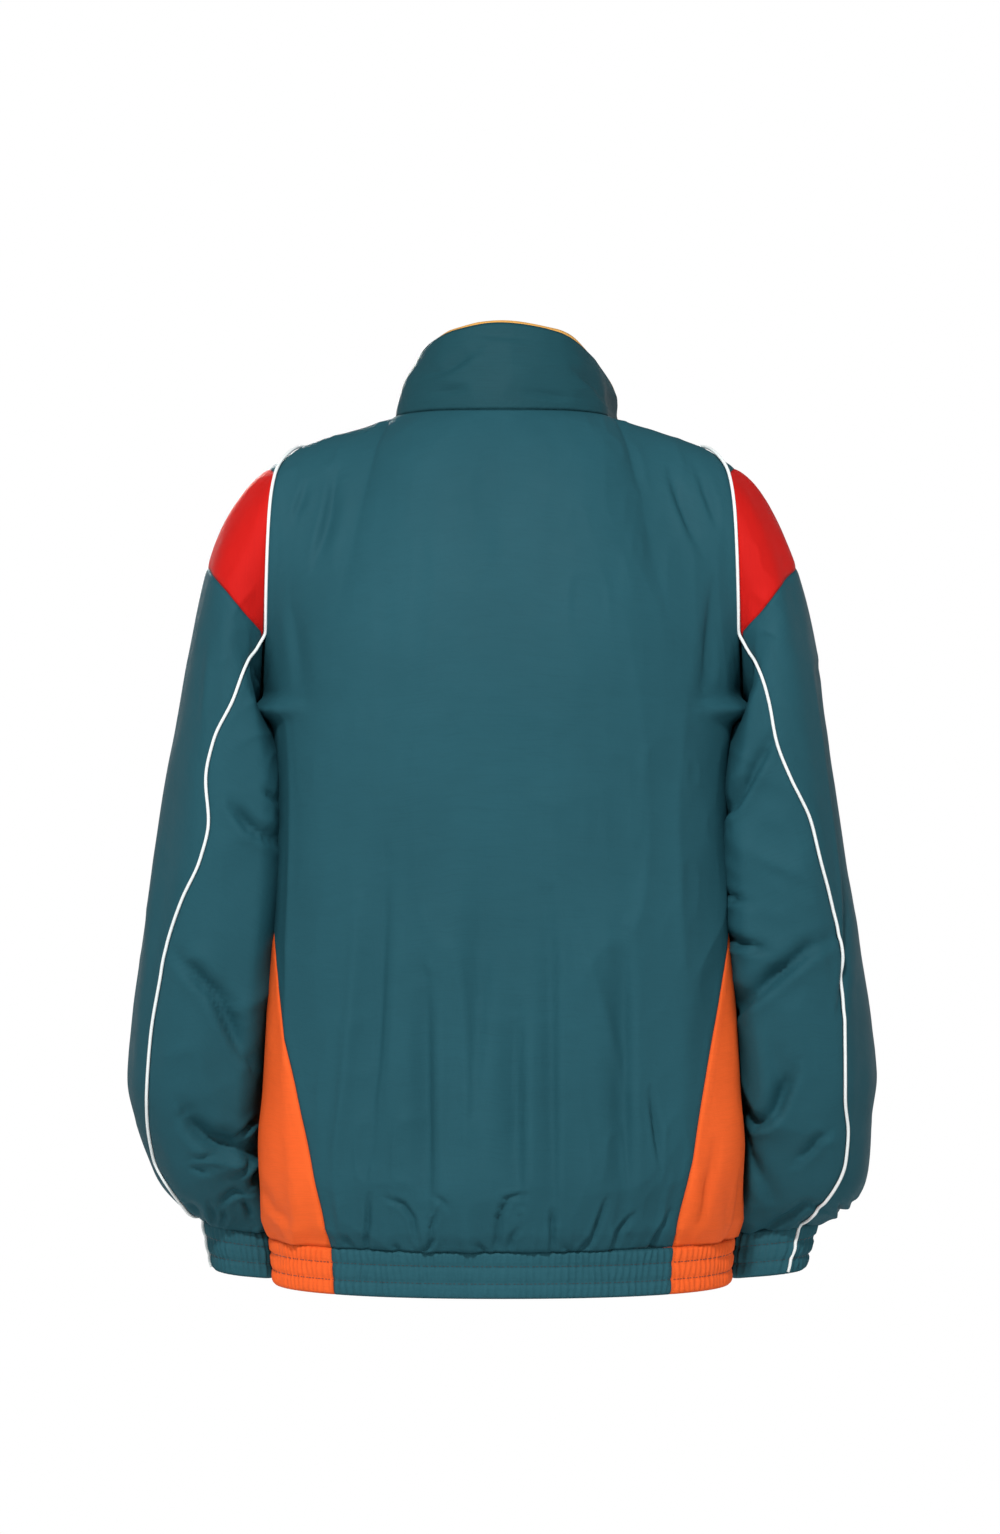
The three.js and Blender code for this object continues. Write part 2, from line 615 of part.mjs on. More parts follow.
// Orange gusset between the back and the front, from the hem up to its blunt tip
const TIP_SHARE = 0.93;
function gussetPlace(side, share, z, gathered) {
  const angle = gussetAngle(z) * (2 * share - 1);
  const surface = (a, b) => bodySection(a * 90, b * 100);
  const limits = { a: [-1, 1], b: [HEM_TOP / 100, 0] };
  const normal = outward(surface, angle / 90, z / 100, point(0, SIDE_Y, z), limits);
  const base = bodySection(angle, z);
  const offset = z === HEM_TOP ? levelOffset(normal) : normal.clone().multiplyScalar(-CLOTH);
  const raised = gathered && z > HEM_TOP ? gatherHeight(z - HEM_TOP) : 0;
  return {
    outer: mirror(base.clone().addScaledVector(normal, raised), side),
    inner: mirror(base.clone().add(offset), side),
  };
}

function sideGusset(side) {
  const levels = BODY_LEVELS.filter((z) => z < GUSSET_TIP);
  const shares = steps(GUSSET_COLUMNS);
  const rows = levels.map((z) => shares.map((share, j) => gussetPlace(side, share, z, j % 2 === 1)));
  const tip = gussetPlace(side, 0.5, GUSSET_TIP, false);
  rows.push(rows[rows.length - 1].map((place) => ({
    outer: mix(place.outer, tip.outer, TIP_SHARE),
    inner: mix(place.inner, tip.inner, TIP_SHARE),
  })));
  add(`side_gusset_${side}`, wall(rows), ORANGE);
}

// Elastic hem band: ribs raised on its outside, two columns for each
function hemPlace(side, angle, shift, z, ribbed) {
  const base = bodySection(angle, z);
  const half = tableValue(BODY_SECTIONS, 'z', 'half', z);
  const depth = tableValue(BODY_SECTIONS, 'z', 'back', z);
  const away = point(base.x / half ** 2, (base.y - SIDE_Y) / depth ** 2, 0).normalize();
  base.x += shift;
  return {
    outer: mirror(base.clone().addScaledVector(away, ribbed ? RIB_HEIGHT : 0), side),
    inner: mirror(base.clone().addScaledVector(away, -CLOTH), side),
  };
}

function hemPiece(name, material, side, ribs, start, end, shift) {
  const rows = [HEM_BOTTOM, HEM_TOP].map((z) => (
    steps(ribs * 2).map((share, j) => (
      hemPlace(side, start + (end - start) * share, shift * share, z, j % 2 === 1)
    ))
  ));
  add(name, wall(rows), material);
}

function hemBand() {
  const edge = gussetAngle(HEM_TOP);
  hemPiece('hem_back', TEAL, 'left', HEM_RIBS.back, edge, 180 - edge, 0);
  for (const side of ['left', 'right']) {
    hemPiece(`hem_side_${side}`, ORANGE, side, HEM_RIBS.side, -edge, edge, 0);
    hemPiece(`hem_front_${side}`, TEAL, side, HEM_RIBS.front, -edge, -90, ZIP_HALF);
  }
}

// Where the sleeve's cross seams lie: slanted cuts, straight when seen from behind
function reachOfCut(turn, corner, ridge, least) {
  const seam = armholePoint(corner);
  const slope = (ridge.z - seam.z) / (ridge.x - seam.x);
  const above = (place) => place.z - seam.z - slope * (place.x - seam.x);
  let near = 0;
  let far = 5;
  for (let i = 0; i < 24; i += 1) {
    const middle = (near + far) / 2;
    if (above(sleeveBase(turn, middle)) > 0) near = middle;
    else far = middle;
  }
  return Math.max(near, least);
}
const capReach = (turn) => (
  Math.abs(turn) > CAP_CORNER ? 0 : reachOfCut(turn, CAP_CORNER, CAP_RIDGE, CAP_TIP)
);
const chevronReach = (turn) => reachOfCut(turn, CHEVRON_CORNER, CHEVRON_RIDGE, CHEVRON_TIP);

// Turn of the piped seam at a reach, found where the sleeve passes the seam's line
function pipedTurn(side, reach) {
  if (reach <= CHEVRON_TIP) return CHEVRON_CORNER;
  let out = 0;
  let inside = 150;
  for (let i = 0; i < 24; i += 1) {
    const middle = (out + inside) / 2;
    const place = sleeveBase(middle, reach);
    if (place.x > tableValue(PIPED_SEAM, 'z', side, place.z)) out = middle;
    else inside = middle;
  }
  return Math.max(out, 8);
}

// Sleeve panels share their places along every seam
const SLEEVE_REACHES = [0, CHEVRON_TIP, ...Array.from({ length: SLEEVE_END }, (_, i) => i + 1)];
const TURNS = ARMHOLE_STATIONS.filter((angle) => angle <= CHEVRON_CORNER);
const BOTH_TURNS = [...TURNS.map((turn) => -turn), ...TURNS.slice(0, -1).reverse()];
const UNDER_TURNS = ARMHOLE_STATIONS.filter((angle) => angle >= CHEVRON_CORNER);

function sleeveCap(side) {
  const turns = BOTH_TURNS.filter((turn) => Math.abs(turn) <= CAP_CORNER);
  const rows = steps(2).map((share) => (
    turns.map((turn) => sleevePlace(side, turn, share * capReach(turn), false))
  ));
  add(`sleeve_cap_${side}`, wall(rows), TEAL);
}

function shoulderChevron(side) {
  const rows = steps(4).map((share) => (
    BOTH_TURNS.map((turn) => {
      const start = capReach(turn);
      const end = Math.abs(turn) === CHEVRON_CORNER ? CHEVRON_TIP : chevronReach(turn);
      return sleevePlace(side, turn, start + (end - start) * share, false);
    })
  ));
  add(`shoulder_chevron_${side}`, wall(rows), RED);
}

function sleeveOuter(side) {
  const rows = SLEEVE_REACHES.slice(1).map((reach) => {
    const share = (reach - CHEVRON_TIP) / (SLEEVE_END - CHEVRON_TIP);
    return BOTH_TURNS.map((turn, j) => {
      const corner = Math.abs(turn) === CHEVRON_CORNER;
      const start = corner ? CHEVRON_TIP : chevronReach(turn);
      const here = corner ? reach : start + (SLEEVE_END - start) * share;
      const drift = (CHEVRON_CORNER - pipedTurn(side, start)) * (1 - share) ** 2;
      const placeTurn = (turn / CHEVRON_CORNER) * (pipedTurn(side, here) + drift);
      return sleevePlace(side, placeTurn, here, j % 2 === 1);
    });
  });
  add(`sleeve_outer_${side}`, wall(rows), TEAL);
}

function sleeveUnder(side) {
  const half = UNDER_TURNS.map((turn) => (turn - CHEVRON_CORNER) / (180 - CHEVRON_CORNER)).reverse();
  const shares = [...half, ...half.slice(0, -1).reverse().map((share) => 2 - share)];
  const rows = SLEEVE_REACHES.map((reach) => {
    const seam = pipedTurn(side, reach);
    return shares.map((share, j) => (
      sleevePlace(side, seam + share * (180 - seam), reach, j % 2 === 1)
    ));
  });
  add(`sleeve_under_${side}`, wall(rows), TEAL);
}

function cuff(side) {
  const rows = [0, 1].map((down) => (
    Array.from({ length: CUFF_RIBS * 2 }, (_, j) => {
      const turn = (j * 360) / (CUFF_RIBS * 2);
      const base = cuffBase(turn, down);
      const offset = cuffOffset(turn, down);
      const raised = j % 2 === 1 ? -RIB_HEIGHT / CLOTH : 0;
      return {
        outer: mirror(base.clone().addScaledVector(offset, raised), side),
        inner: mirror(base.clone().add(offset), side),
      };
    })
  ));
  add(`cuff_${side}`, wall(rows, true), TEAL);
}

// Collar: an outer cloth, and a yellow facing behind it that stands a little higher
function collarPlaces(rises, front, thickness) {
  const arounds = steps(2 * NECK_COLUMNS);
  return rises.map((rise) => {
    const row = (side) => arounds.map((around) => {
      const base = collarBase(side, around, rise);
      const normal = collarNormal(side, around, Math.min(rise, 1));
      const seam = rise === COLLAR_RISES[0];
      const offset = seam ? neckOffset(side, around) : normal.clone().multiplyScalar(-front - thickness);
      return {
        outer: mirror(base.clone().addScaledVector(normal, -front), side),
        inner: mirror(base.clone().add(offset), side),
      };
    });
    return [...row('left').reverse(), ...row('right').slice(1)];
  });
}

function collar() {
  add('collar_outer', wall(collarPlaces(COLLAR_RISES, 0, CLOTH)), TEAL);
  add('collar_facing', wall(collarPlaces(FACING_RISES, CLOTH + COLLAR_GAP, FACING)), YELLOW);
}

// A round cord laid along a path of places, each with its outward direction
function cord(path, radius, sides = 5) {
  const rings = path.map(({ place, normal }, i) => {
    const before = path[Math.max(i - 1, 0)].place;
    const after = path[Math.min(i + 1, path.length - 1)].place;
    const run = after.clone().sub(before).normalize();
    const across = run.clone().cross(normal).normalize();
    const up = across.clone().cross(run).normalize();
    return Array.from({ length: sides }, (_, k) => {
      const angle = (k * 2 * Math.PI) / sides;
      return place.clone()
        .addScaledVector(across, radius * Math.sin(angle))
        .addScaledVector(up, radius * Math.cos(angle));
    });
  });
  const quads = [];
  for (let i = 0; i < rings.length - 1; i += 1) {
    for (let k = 0; k < sides; k += 1) {
      const next = (k + 1) % sides;
      quads.push([rings[i][k], rings[i][next], rings[i + 1][next], rings[i + 1][k]]);
    }
  }
  for (const [ring, end] of [[rings[0], 0], [rings[rings.length - 1], rings.length - 1]]) {
    for (let k = 0; k < sides; k += 1) {
      const next = (k + 1) % sides;
      const face = [path[end].place, ring[next], ring[k], ring[k]];
      quads.push(end === 0 ? face : [face[0], face[2], face[1], face[1]]);
    }
  }
  return solidFromQuads(quads);
}

// White piping: from the front of one cuff over the shoulder to the back of it
function piping(side) {
  const lift = PIPING_RADIUS + 3 * SEAM_GAP;
  const seamPlace = (turn, reach) => {
    const { outer } = sleevePlace(side, turn, reach, false);
    const up = reach === 0
      ? armholeOffset(turn).multiplyScalar(-lift / CLOTH)
      : sleeveNormal(turn, reach).multiplyScalar(lift);
    const out = mirror(up, side).clone();
    return { place: outer.clone().add(out), normal: out.clone().normalize() };
  };
  const cuffPlace = (turn, down) => {
    const out = mirror(cuffOffset(turn, down).normalize().negate(), side).clone();
    const place = mirror(cuffBase(turn, down), side).clone().addScaledVector(out, lift + RIB_HEIGHT);
    return { place, normal: out };
  };
  const down = (sign) => {
    const reaches = SLEEVE_REACHES.slice(2, -1);
    const sleeve = reaches.map((reach) => seamPlace(sign * pipedTurn(side, reach), reach));
    const end = sign * pipedTurn(side, SLEEVE_END);
    return [...sleeve, ...[0.15, 0.55, 0.95].map((share) => cuffPlace(end, share))];
  };
  const over = BOTH_TURNS.map((turn) => seamPlace(turn, 0));
  const path = [...down(-1).reverse(), ...over, ...down(1)];
  add(`piping_${side}`, cord(path, PIPING_RADIUS), WHITE);
}

// Half of the zip: a narrow strip along the front edge and up the collar's front end
function zipHalf(side) {
  const strip = (edge, next, normal, spare = 0) => {
    const out = edge.clone().sub(next);
    out.addScaledVector(normal, -out.dot(normal)).normalize();
    const at = (away, depth) => mirror(
      edge.clone().addScaledVector(out, away).addScaledVector(normal, -depth), side);
    const near = ZIP_TAPE.inset + spare;
    const far = near + ZIP_TAPE.width;
    return [
      { outer: at(near, -ZIP_TAPE.front), inner: at(near, ZIP_TAPE.behind) },
      { outer: at(far, -ZIP_TAPE.front), inner: at(far, ZIP_TAPE.behind) },
    ];
  };
  const hemEdge = lowerBody('front', 1, HEM_TOP).setZ(HEM_BOTTOM);
  hemEdge.y = bodySection(-90, HEM_BOTTOM).y;
  const rows = [strip(hemEdge, hemEdge.clone().setX(hemEdge.x + 10), point(0, -1, 0))];
  for (const level of LEVELS) {
    const edge = bodyBase('front', 1, level);
    const spare = level === 2 ? ZIP_TAPE.cornerSpare : 0;
    rows.push(strip(edge, bodyBase('front', 0.97, level), bodyNormal('front', 1, level), spare));
  }
  for (const rise of [0.25, 0.5, 0.75, 1]) {
    const edge = collarBase(side, 1, rise);
    rows.push(strip(edge, collarBase(side, 0.97, rise), collarNormal(side, 1, rise)));
  }
  add(`zip_${side}`, wall(rows), COIL);
}

// Slider and pull tab: millimetres from the tab's hinge, which crosses the zip
const SLIDER = { width: 9, height: 13, thick: 2, bridgeWidth: 2.4, bridgeReach: 4.6, bridgeHalf: 5 };
const EYE = { height: 3.2, depth: 2.6 };
const TAB = { width: 8, length: 25, thick: 1.3, window: 5, windowHeight: 5.4, bar: 1.3 };
const HINGE = { y: -160.4, z: -238 };
const PLATE_BACK = 3.8;

const wasm = await Module();
wasm.setup();

function manifold(geometry) {
  const bare = geometry.clone();
  bare.deleteAttribute('normal');
  bare.deleteAttribute('uv');
  const merged = mergeVertices(bare, 1e-4);
  return new wasm.Manifold(new wasm.Mesh({
    numProp: 3,
    vertProperties: new Float32Array(merged.attributes.position.array),
    triVerts: new Uint32Array(merged.index.array),
  }));
}

function fromManifold(solid) {
  const mesh = solid.getMesh();
  const geometry = new THREE.BufferGeometry();
  geometry.setAttribute('position', new THREE.Float32BufferAttribute(mesh.vertProperties, 3));
  geometry.setIndex(Array.from(mesh.triVerts));
  return geometry;
}

function rectangle(path, x0, y0, x1, y1) {
  path.moveTo(x0, y0);
  path.lineTo(x1, y0);
  path.lineTo(x1, y1);
  path.lineTo(x0, y1);
  path.closePath();
  return path;
}

// Slider: a plate over the coil, with an arched bridge that holds the tab
function slider() {
  const plateFront = PLATE_BACK - SLIDER.thick;
  const plate = new THREE.BoxGeometry(SLIDER.width, SLIDER.thick, SLIDER.height);
  plate.translate(0, PLATE_BACK - SLIDER.thick / 2, 0);
  const arch = new THREE.Shape();
  arch.moveTo(plateFront + 0.5, -SLIDER.bridgeHalf);
  arch.lineTo(plateFront - 1.5, -SLIDER.bridgeHalf);
  arch.lineTo(plateFront - SLIDER.bridgeReach, -SLIDER.bridgeHalf + 2);
  arch.lineTo(plateFront - SLIDER.bridgeReach, SLIDER.bridgeHalf - 2);
  arch.lineTo(plateFront - 1.5, SLIDER.bridgeHalf);
  arch.lineTo(plateFront + 0.5, SLIDER.bridgeHalf);
  arch.closePath();
  arch.holes.push(rectangle(new THREE.Path(), -EYE.depth / 2, -EYE.height / 2, EYE.depth / 2, EYE.height / 2));
  const bridge = new THREE.ExtrudeGeometry(arch, { depth: SLIDER.bridgeWidth, bevelEnabled: false });
  bridge.translate(0, 0, -SLIDER.bridgeWidth / 2);
  bridge.applyMatrix4(new THREE.Matrix4().makeBasis(point(0, 1, 0), point(0, 0, 1), point(1, 0, 0)));
  const mesh = add('zip_slider', fromManifold(manifold(plate).add(manifold(bridge))), METAL);
  mesh.position.set(0, HINGE.y, HINGE.z);
}

// Pull tab: its top bar runs through the bridge's eye, and it hangs down
function pullTab() {
  const top = TAB.bar / 2;
  const half = TAB.width / 2;
  const shape = new THREE.Shape();
  shape.moveTo(-half, top);
  shape.lineTo(half, top);
  shape.lineTo(half, top - TAB.length + half);
  shape.absarc(0, top - TAB.length + half, half, 0, -Math.PI, true);
  shape.lineTo(-half, top);
  shape.holes.push(rectangle(new THREE.Path(),
    -TAB.window / 2, -TAB.bar / 2 - TAB.windowHeight, TAB.window / 2, -TAB.bar / 2));
  const geometry = new THREE.ExtrudeGeometry(shape, {
    depth: TAB.thick, bevelEnabled: false, curveSegments: 5,
  });
  geometry.translate(0, 0, -TAB.thick / 2);
  geometry.rotateX(Math.PI / 2);
  const mesh = add('zip_pull', geometry, METAL);
  mesh.position.set(0, HINGE.y, HINGE.z);
}

backPanel();
hemBand();
collar();
slider();
pullTab();
for (const side of ['left', 'right']) {
  frontPanel(side);
  sideGusset(side);
  sleeveCap(side);
  shoulderChevron(side);
  sleeveOuter(side);
  sleeveUnder(side);
  cuff(side);
  piping(side);
  zipHalf(side);
}

export default jacket;
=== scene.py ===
# Track jacket: the cloth, cord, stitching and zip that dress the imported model.
# Surfaces are worked out in millimetres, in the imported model's frame, and made in metres.
# The front faces -Y and the wearer's left is +X.
import math

import bpy
import numpy as np
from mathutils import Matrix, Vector


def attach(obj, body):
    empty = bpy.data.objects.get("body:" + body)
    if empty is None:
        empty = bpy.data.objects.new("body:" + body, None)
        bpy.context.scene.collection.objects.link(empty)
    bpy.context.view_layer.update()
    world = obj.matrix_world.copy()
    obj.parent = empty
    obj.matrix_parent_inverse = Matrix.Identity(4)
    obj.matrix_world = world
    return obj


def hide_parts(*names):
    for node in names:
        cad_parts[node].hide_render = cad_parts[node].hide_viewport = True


MM = 0.001
SIDES = ("left", "right")

# Cloth thickness, grid step and cord
THICK = 0.9
STEP = 3.2
DENSE_STEP = 1.8
DENSE_HEIGHT = 64
BAND_STEP = 1.2
PIPING_RADIUS = 1.3
PIPING_LIFT = 1.4
PIPING_OVER_CUFF = 0.9

# How far cloth sinks at its seams, how far beside them, and how far stitches stand over it
SEAM_SINK = 0.9
SEAM_REACH = 2.6
STITCH_LIFT = 0.15

# Heights, from the collar's seam
HEM_BOTTOM = -698
HEM_TOP = -661
GUSSET_TIP = -375
UNDERARM = -232
SIDE_Y = -6
ZIP_HALF = 4

# Horizontal sections of the body
BODY_SECTIONS = {
    "z": [-698, -661, -645, -600, -540, -470, -400, -300, -262, -245, -232],
    "half": [183, 186, 193, 200, 199, 194, 187, 184, 187, 190, 192],
    "back": [119, 122, 130, 138, 138, 137, 137, 140, 142, 143, 143],
    "front": [129, 132, 141, 149, 151, 152, 152, 152, 151, 150, 149],
    "square": [2.2, 2.2, 2.25, 2.45, 2.6, 2.8, 3, 3, 2.8, 2.6, 2.5],
    "press": [0, 0, 2, 11, 15, 14, 16, 15, 9, 3, 0],
}
PRESS_WIDTH = 45
GUSSET_EDGE = {"z": [-661, -591, -529, -467, -430], "x": [134, 148, 160, 172, 178]}
GUSSET_TURN = -430

# Armhole, from the shoulder's ridge (0) round the back (90) to the underarm (180)
ARMHOLE = {"middle_z": -131, "half_z": 101, "back": 78, "front": 90, "square": 2.15}
ARMHOLE_X = {
    "angle": [0, 20, 42, 65, 100, 118, 150, 180],
    "x": [157, 168, 178.5, 183, 186, 187, 190, 192],
}

# Rings of the sleeve below the armhole
SLEEVE_RINGS = {
    "out_x": [199, 227, 242, 254, 263, 272, 281, 289, 296, 300, 294, 285, 274, 259, 242],
    "out_z": [-57, -103, -148, -205, -262, -320, -380, -436, -490, -536, -568, -598, -624, -642, -653],
    "in_x": [197, 190.5, 183, 177.5, 173.5, 173, 175, 180, 185, 190, 194, 195, 193.5, 189, 185.5],
    "in_z": [-237, -246, -259, -275, -297, -333, -384, -438, -490, -534, -566, -596, -622, -644, -661],
    "back": [79, 84, 88, 89, 88, 85, 81, 76, 70, 61, 50, 36, 19, 0, -18],
    "front": [-94, -98, -100, -101, -101, -102, -104, -106, -108, -109, -108, -106, -103, -99, -92],
}
SLEEVE_SQUARE = 2.1
INNER_CORNER = 3.6
SLEEVE_END = len(SLEEVE_RINGS["out_x"])
RING_SPACING = 40
CUFF_LENGTH = 37
# How far out the end of the right sleeve lies, past the left one's place
RIGHT_CUFF_SHIFT = 18
CUFF_BOTTOM = {"out_x": 234, "out_z": -693, "in_x": 183, "in_z": -698, "back": -20, "front": -90}

# Piped seam down the sleeve's back: how far it lies from the middle plane on each side
PIPED_SEAM = {
    "z": [-655, -624, -598, -565, -501, -453, -421, -390, -358, -327, -296, -265, -233, -202, -186, -170],
    "left": [243, 264, 278, 281, 277, 269, 262, 251, 236, 229, 231, 225, 210, 199, 189, 176],
    "right": [229, 248, 262, 271, 270, 269, 265, 258, 249, 241, 226, 214, 208, 198, 187, 174],
}

# Red chevron over the shoulder
CAP_CORNER = 42
CHEVRON_CORNER = 118
CAP_RIDGE = (187, -46)
CHEVRON_RIDGE = (235.5, -126)
CAP_TIP = 0.04
CHEVRON_TIP = 0.12

# Neck seam from the middle of the back (0) over the shoulder seam (0.5) to the zip (1). The first
# column lies on the other side, so that the curve runs square through the middle of the back.
NECK_SEAM = {
    "around": [-0.25, 0, 0.25, 0.5, 0.75, 1],
    "x": [-48, 0, 48, 85, 79, 44],
    "y": [45, 58, 45, 3, -52, -98],
    "z": [-3.5, -4, -3.5, -6, -34, -72],
}
COLLAR_TOP = {
    "left": {
        "around": [-0.25, 0, 0.25, 0.5, 0.75, 1],
        "x": [-40, 0, 40, 67, 77, 76],
        "y": [28, 38, 28, -8, -66, -126],
        "z": [60, 66, 60, 43, 12, -26],
    },
    "right": {
        "around": [-0.25, 0, 0.25, 0.5, 0.75, 1],
        "x": [-43, 0, 43, 76, 94, 96],
        "y": [28, 38, 28, -12, -66, -122],
        "z": [60, 66, 60, 40, 8, -24],
    },
}
COLLAR_ROLL = 3
FACING_GAP = 1.5
FACING_TOP = 1.038
# How much further the facing shows above each side of the open collar
FLARE_SHOWS = {"left": 0.01, "right": 0.08}
SHOULDER_SHARE = 5 / 12
TOP_LEAN = {"back": (8, 48), "front": (8, 62)}

# The photograph's camera: how far it stands from the jacket's middle, and its height
CAMERA_AWAY = 3600
CAMERA_HEIGHT = -285.6
CAMERA_SIDE = 1.6
FRAME_HEIGHT = 1227.2
SENSOR = 36

# Lights, in metres and watts: where each stands, its size and its power
LIT_POINT = (0, 0, -0.3)
FLASH = ((0.35, 2.7, 1.9), 0.3, 102)
FRONT_FLASH = ((0.7, -3.1, 0.6), 0.5, 60)
# The cove is full bright up to the first height and dim from the second
COVE_HEIGHTS = (0.18, 0.34)
COVE_STRENGTHS = (1.0, 0.14)
FLOOR_HALF = 2.9
FLOOR_HEIGHT = -1.45


# Working with tables and directions
def even_slope(before, after):
    """A slope between two rises, and none where they turn back."""
    same = before * after > 0
    return np.where(same, 2 * before * after / np.where(same, before + after, 1), 0)


def through(rows, key, name, at):
    """A smooth curve through one column of a table, which never overshoots its rows."""
    keys = np.asarray(rows[key], float)
    values = np.asarray(rows[name], float)
    rise = np.diff(values) / np.diff(keys)
    slope = np.concatenate([rise[:1], even_slope(rise[:-1], rise[1:]), rise[-1:]])
    i = np.clip(np.searchsorted(keys, at, side="left") - 1, 0, len(keys) - 2)
    span = keys[i + 1] - keys[i]
    t = np.clip((at - keys[i]) / span, 0, 1)
    bend = t * t * (3 - 2 * t)
    ends = t * (1 - t) ** 2 * slope[i] + t * t * (t - 1) * slope[i + 1]
    return values[i] * (1 - bend) + values[i + 1] * bend + span * ends


def signed_power(value, power):
    return np.sign(value) * np.abs(value) ** power


def place(x, y, z):
    return np.stack(np.broadcast_arrays(x, y, z), -1).astype(float)


def unit(vectors):
    return vectors / np.maximum(np.linalg.norm(vectors, axis=-1, keepdims=True), 1e-9)


def smooth(low, high, value):
    t = np.clip((value - low) / (high - low), 0, 1)
    return t * t * (3 - 2 * t)


def mix(a, b, share):
    return a + (b - a) * share


def curve(start, end, leave, arrive, t):
    """A curve from start to end that leaves and arrives in the given directions."""
    bend = t * t * (3 - 2 * t)
    return mix(start, end, bend) + leave * t * (1 - t) ** 2 + arrive * t * t * (t - 1)


def arc_lengths(grid, axis):
    steps = np.linalg.norm(np.diff(grid, axis=axis), axis=-1)
    start = np.zeros_like(np.take(steps, [0], axis=axis))
    return np.cumsum(np.concatenate([start, steps], axis=axis), axis=axis)


def mirrored(points, side):
    return points * (np.array([-1, 1, 1]) if side == "right" else 1)


def settled(points, side):
    """On its own side, the right sleeve ends further out than the left one."""
    if side == "left":
        return points
    outer = smooth(195, 260, -points[..., 0])
    shift = RIGHT_CUFF_SHIFT * outer * smooth(-545, -640, points[..., 2])
    return points - place(shift, 0, 0)


# Body: the angle runs from the left side (0) over the middle of the back (90)
def body_section(angle, z):
    angle, z = np.broadcast_arrays(np.asarray(angle, float), np.asarray(z, float))
    half, back, front, square, press = (
        through(BODY_SECTIONS, "z", name, z) for name in ("half", "back", "front", "square", "press")
    )
    turn = np.radians(angle)
    along = np.where(angle >= 0, back, front) * signed_power(np.sin(turn), 2 / square)
    pressed = press * np.exp(-((along / PRESS_WIDTH) ** 2))
    across = half * signed_power(np.cos(turn), 2 / square) - pressed
    return place(across, SIDE_Y + along, z)


def make_gusset_table():
    """Angle of the gusset's seam round the body, at each height."""
    z = np.arange(HEM_TOP, GUSSET_TURN + 0.5, 1.0)
    seam = through(GUSSET_EDGE, "z", "x", z)
    near, far = np.full_like(z, 12), np.full_like(z, 90)
    for _ in range(24):
        middle = (near + far) / 2
        wide = body_section(middle, z)[..., 0] > seam
        near, far = np.where(wide, middle, near), np.where(wide, far, middle)
    return z, near


GUSSET_Z, GUSSET_ANGLE = make_gusset_table()


def gusset_angle(z):
    share = np.clip((GUSSET_TIP - z) / (GUSSET_TIP - GUSSET_TURN), 0, 1)
    return np.interp(z, GUSSET_Z, GUSSET_ANGLE) * share


def lower_body(face, column, z):
    edge = gusset_angle(z)
    angle = edge + (90 - edge) * column
    if face == "back":
        return body_section(angle, z)
    return body_section(-angle, z) + place(ZIP_HALF * column, 0 * column, 0 * column)


def armhole_point(angle):
    angle = np.asarray(angle, float)
    turn, power = np.radians(angle), 2 / ARMHOLE["square"]
    along = signed_power(np.sin(turn), power)
    reach = np.where(along > 0, ARMHOLE["back"], ARMHOLE["front"])
    around = np.where(angle > 180, 360 - angle, np.abs(angle))
    z = ARMHOLE["middle_z"] + ARMHOLE["half_z"] * signed_power(np.cos(turn), power)
    return place(through(ARMHOLE_X, "angle", "x", around), SIDE_Y + reach * along, z)


def neck_seam(around):
    return place(*(through(NECK_SEAM, "around", name, around) for name in "xyz"))


def neck_place(face, column):
    share = (column - SHOULDER_SHARE) / (1 - SHOULDER_SHARE)
    return 0.5 - 0.5 * share if face == "back" else 0.5 + 0.5 * share


def body_top(face, column):
    neck = neck_seam(neck_place(face, np.maximum(column, SHOULDER_SHARE)))
    share = np.minimum(column / SHOULDER_SHARE, 1)[..., None]
    shoulder = mix(armhole_point(0), neck_seam(0.5), share)
    return np.where((column > SHOULDER_SHARE)[..., None], neck, shoulder)


def upper_start(face, column, rise):
    side = 1 if face == "back" else -1
    edge_y = armhole_point(side * 180 * (1 - np.minimum(rise, 0.5)))[..., 1] - SIDE_Y
    depth = through(BODY_SECTIONS, "z", face, UNDERARM)
    power = through(BODY_SECTIONS, "z", "square", UNDERARM) / 2
    edge = np.degrees(np.arcsin(np.abs(edge_y / depth) ** power))
    start = body_section(side * (edge + (90 - edge) * column), UNDERARM)
    return start if face == "back" else start + place(ZIP_HALF * column, 0 * column, 0 * column)


def upper_column(face, column, rise):
    start, end = upper_start(face, column, rise), body_top(face, column)
    height = end[..., 2] - start[..., 2]
    shoulder, neck = TOP_LEAN[face]
    angle = np.radians(shoulder + (neck - shoulder) * column * column)
    inward = -1 if face == "back" else 1
    reach = 1.25 * (np.abs(end[..., 1] - start[..., 1]) + 0.3 * height)
    leave = place(0 * height, 0 * height, height * 1.15)
    across = (end[..., 0] - start[..., 0]) * 0.9
    arrive = place(across, inward * np.cos(angle) * reach, np.sin(angle) * reach)
    t = ((1 - np.cos(math.pi * rise)) / 2)[..., None]
    return curve(start, end, leave, arrive, t)


def upper_body(face, column, rise):
    side = 1 if face == "back" else -1
    pull = armhole_point(side * 180 * (1 - rise)) - upper_column(face, 0 * column, rise)
    return upper_column(face, column, rise) + pull * ((1 - column) ** 3)[..., None]


def body_base(face, column, level):
    """Level runs from 0 at the hem's seam to 1 at the underarm, then to 2 at the shoulder."""
    lower = lower_body(face, column, HEM_TOP + np.minimum(level, 1) * (UNDERARM - HEM_TOP))
    upper = upper_body(face, column, np.maximum(level - 1, 0))
    return np.where((level > 1)[..., None], upper, lower)


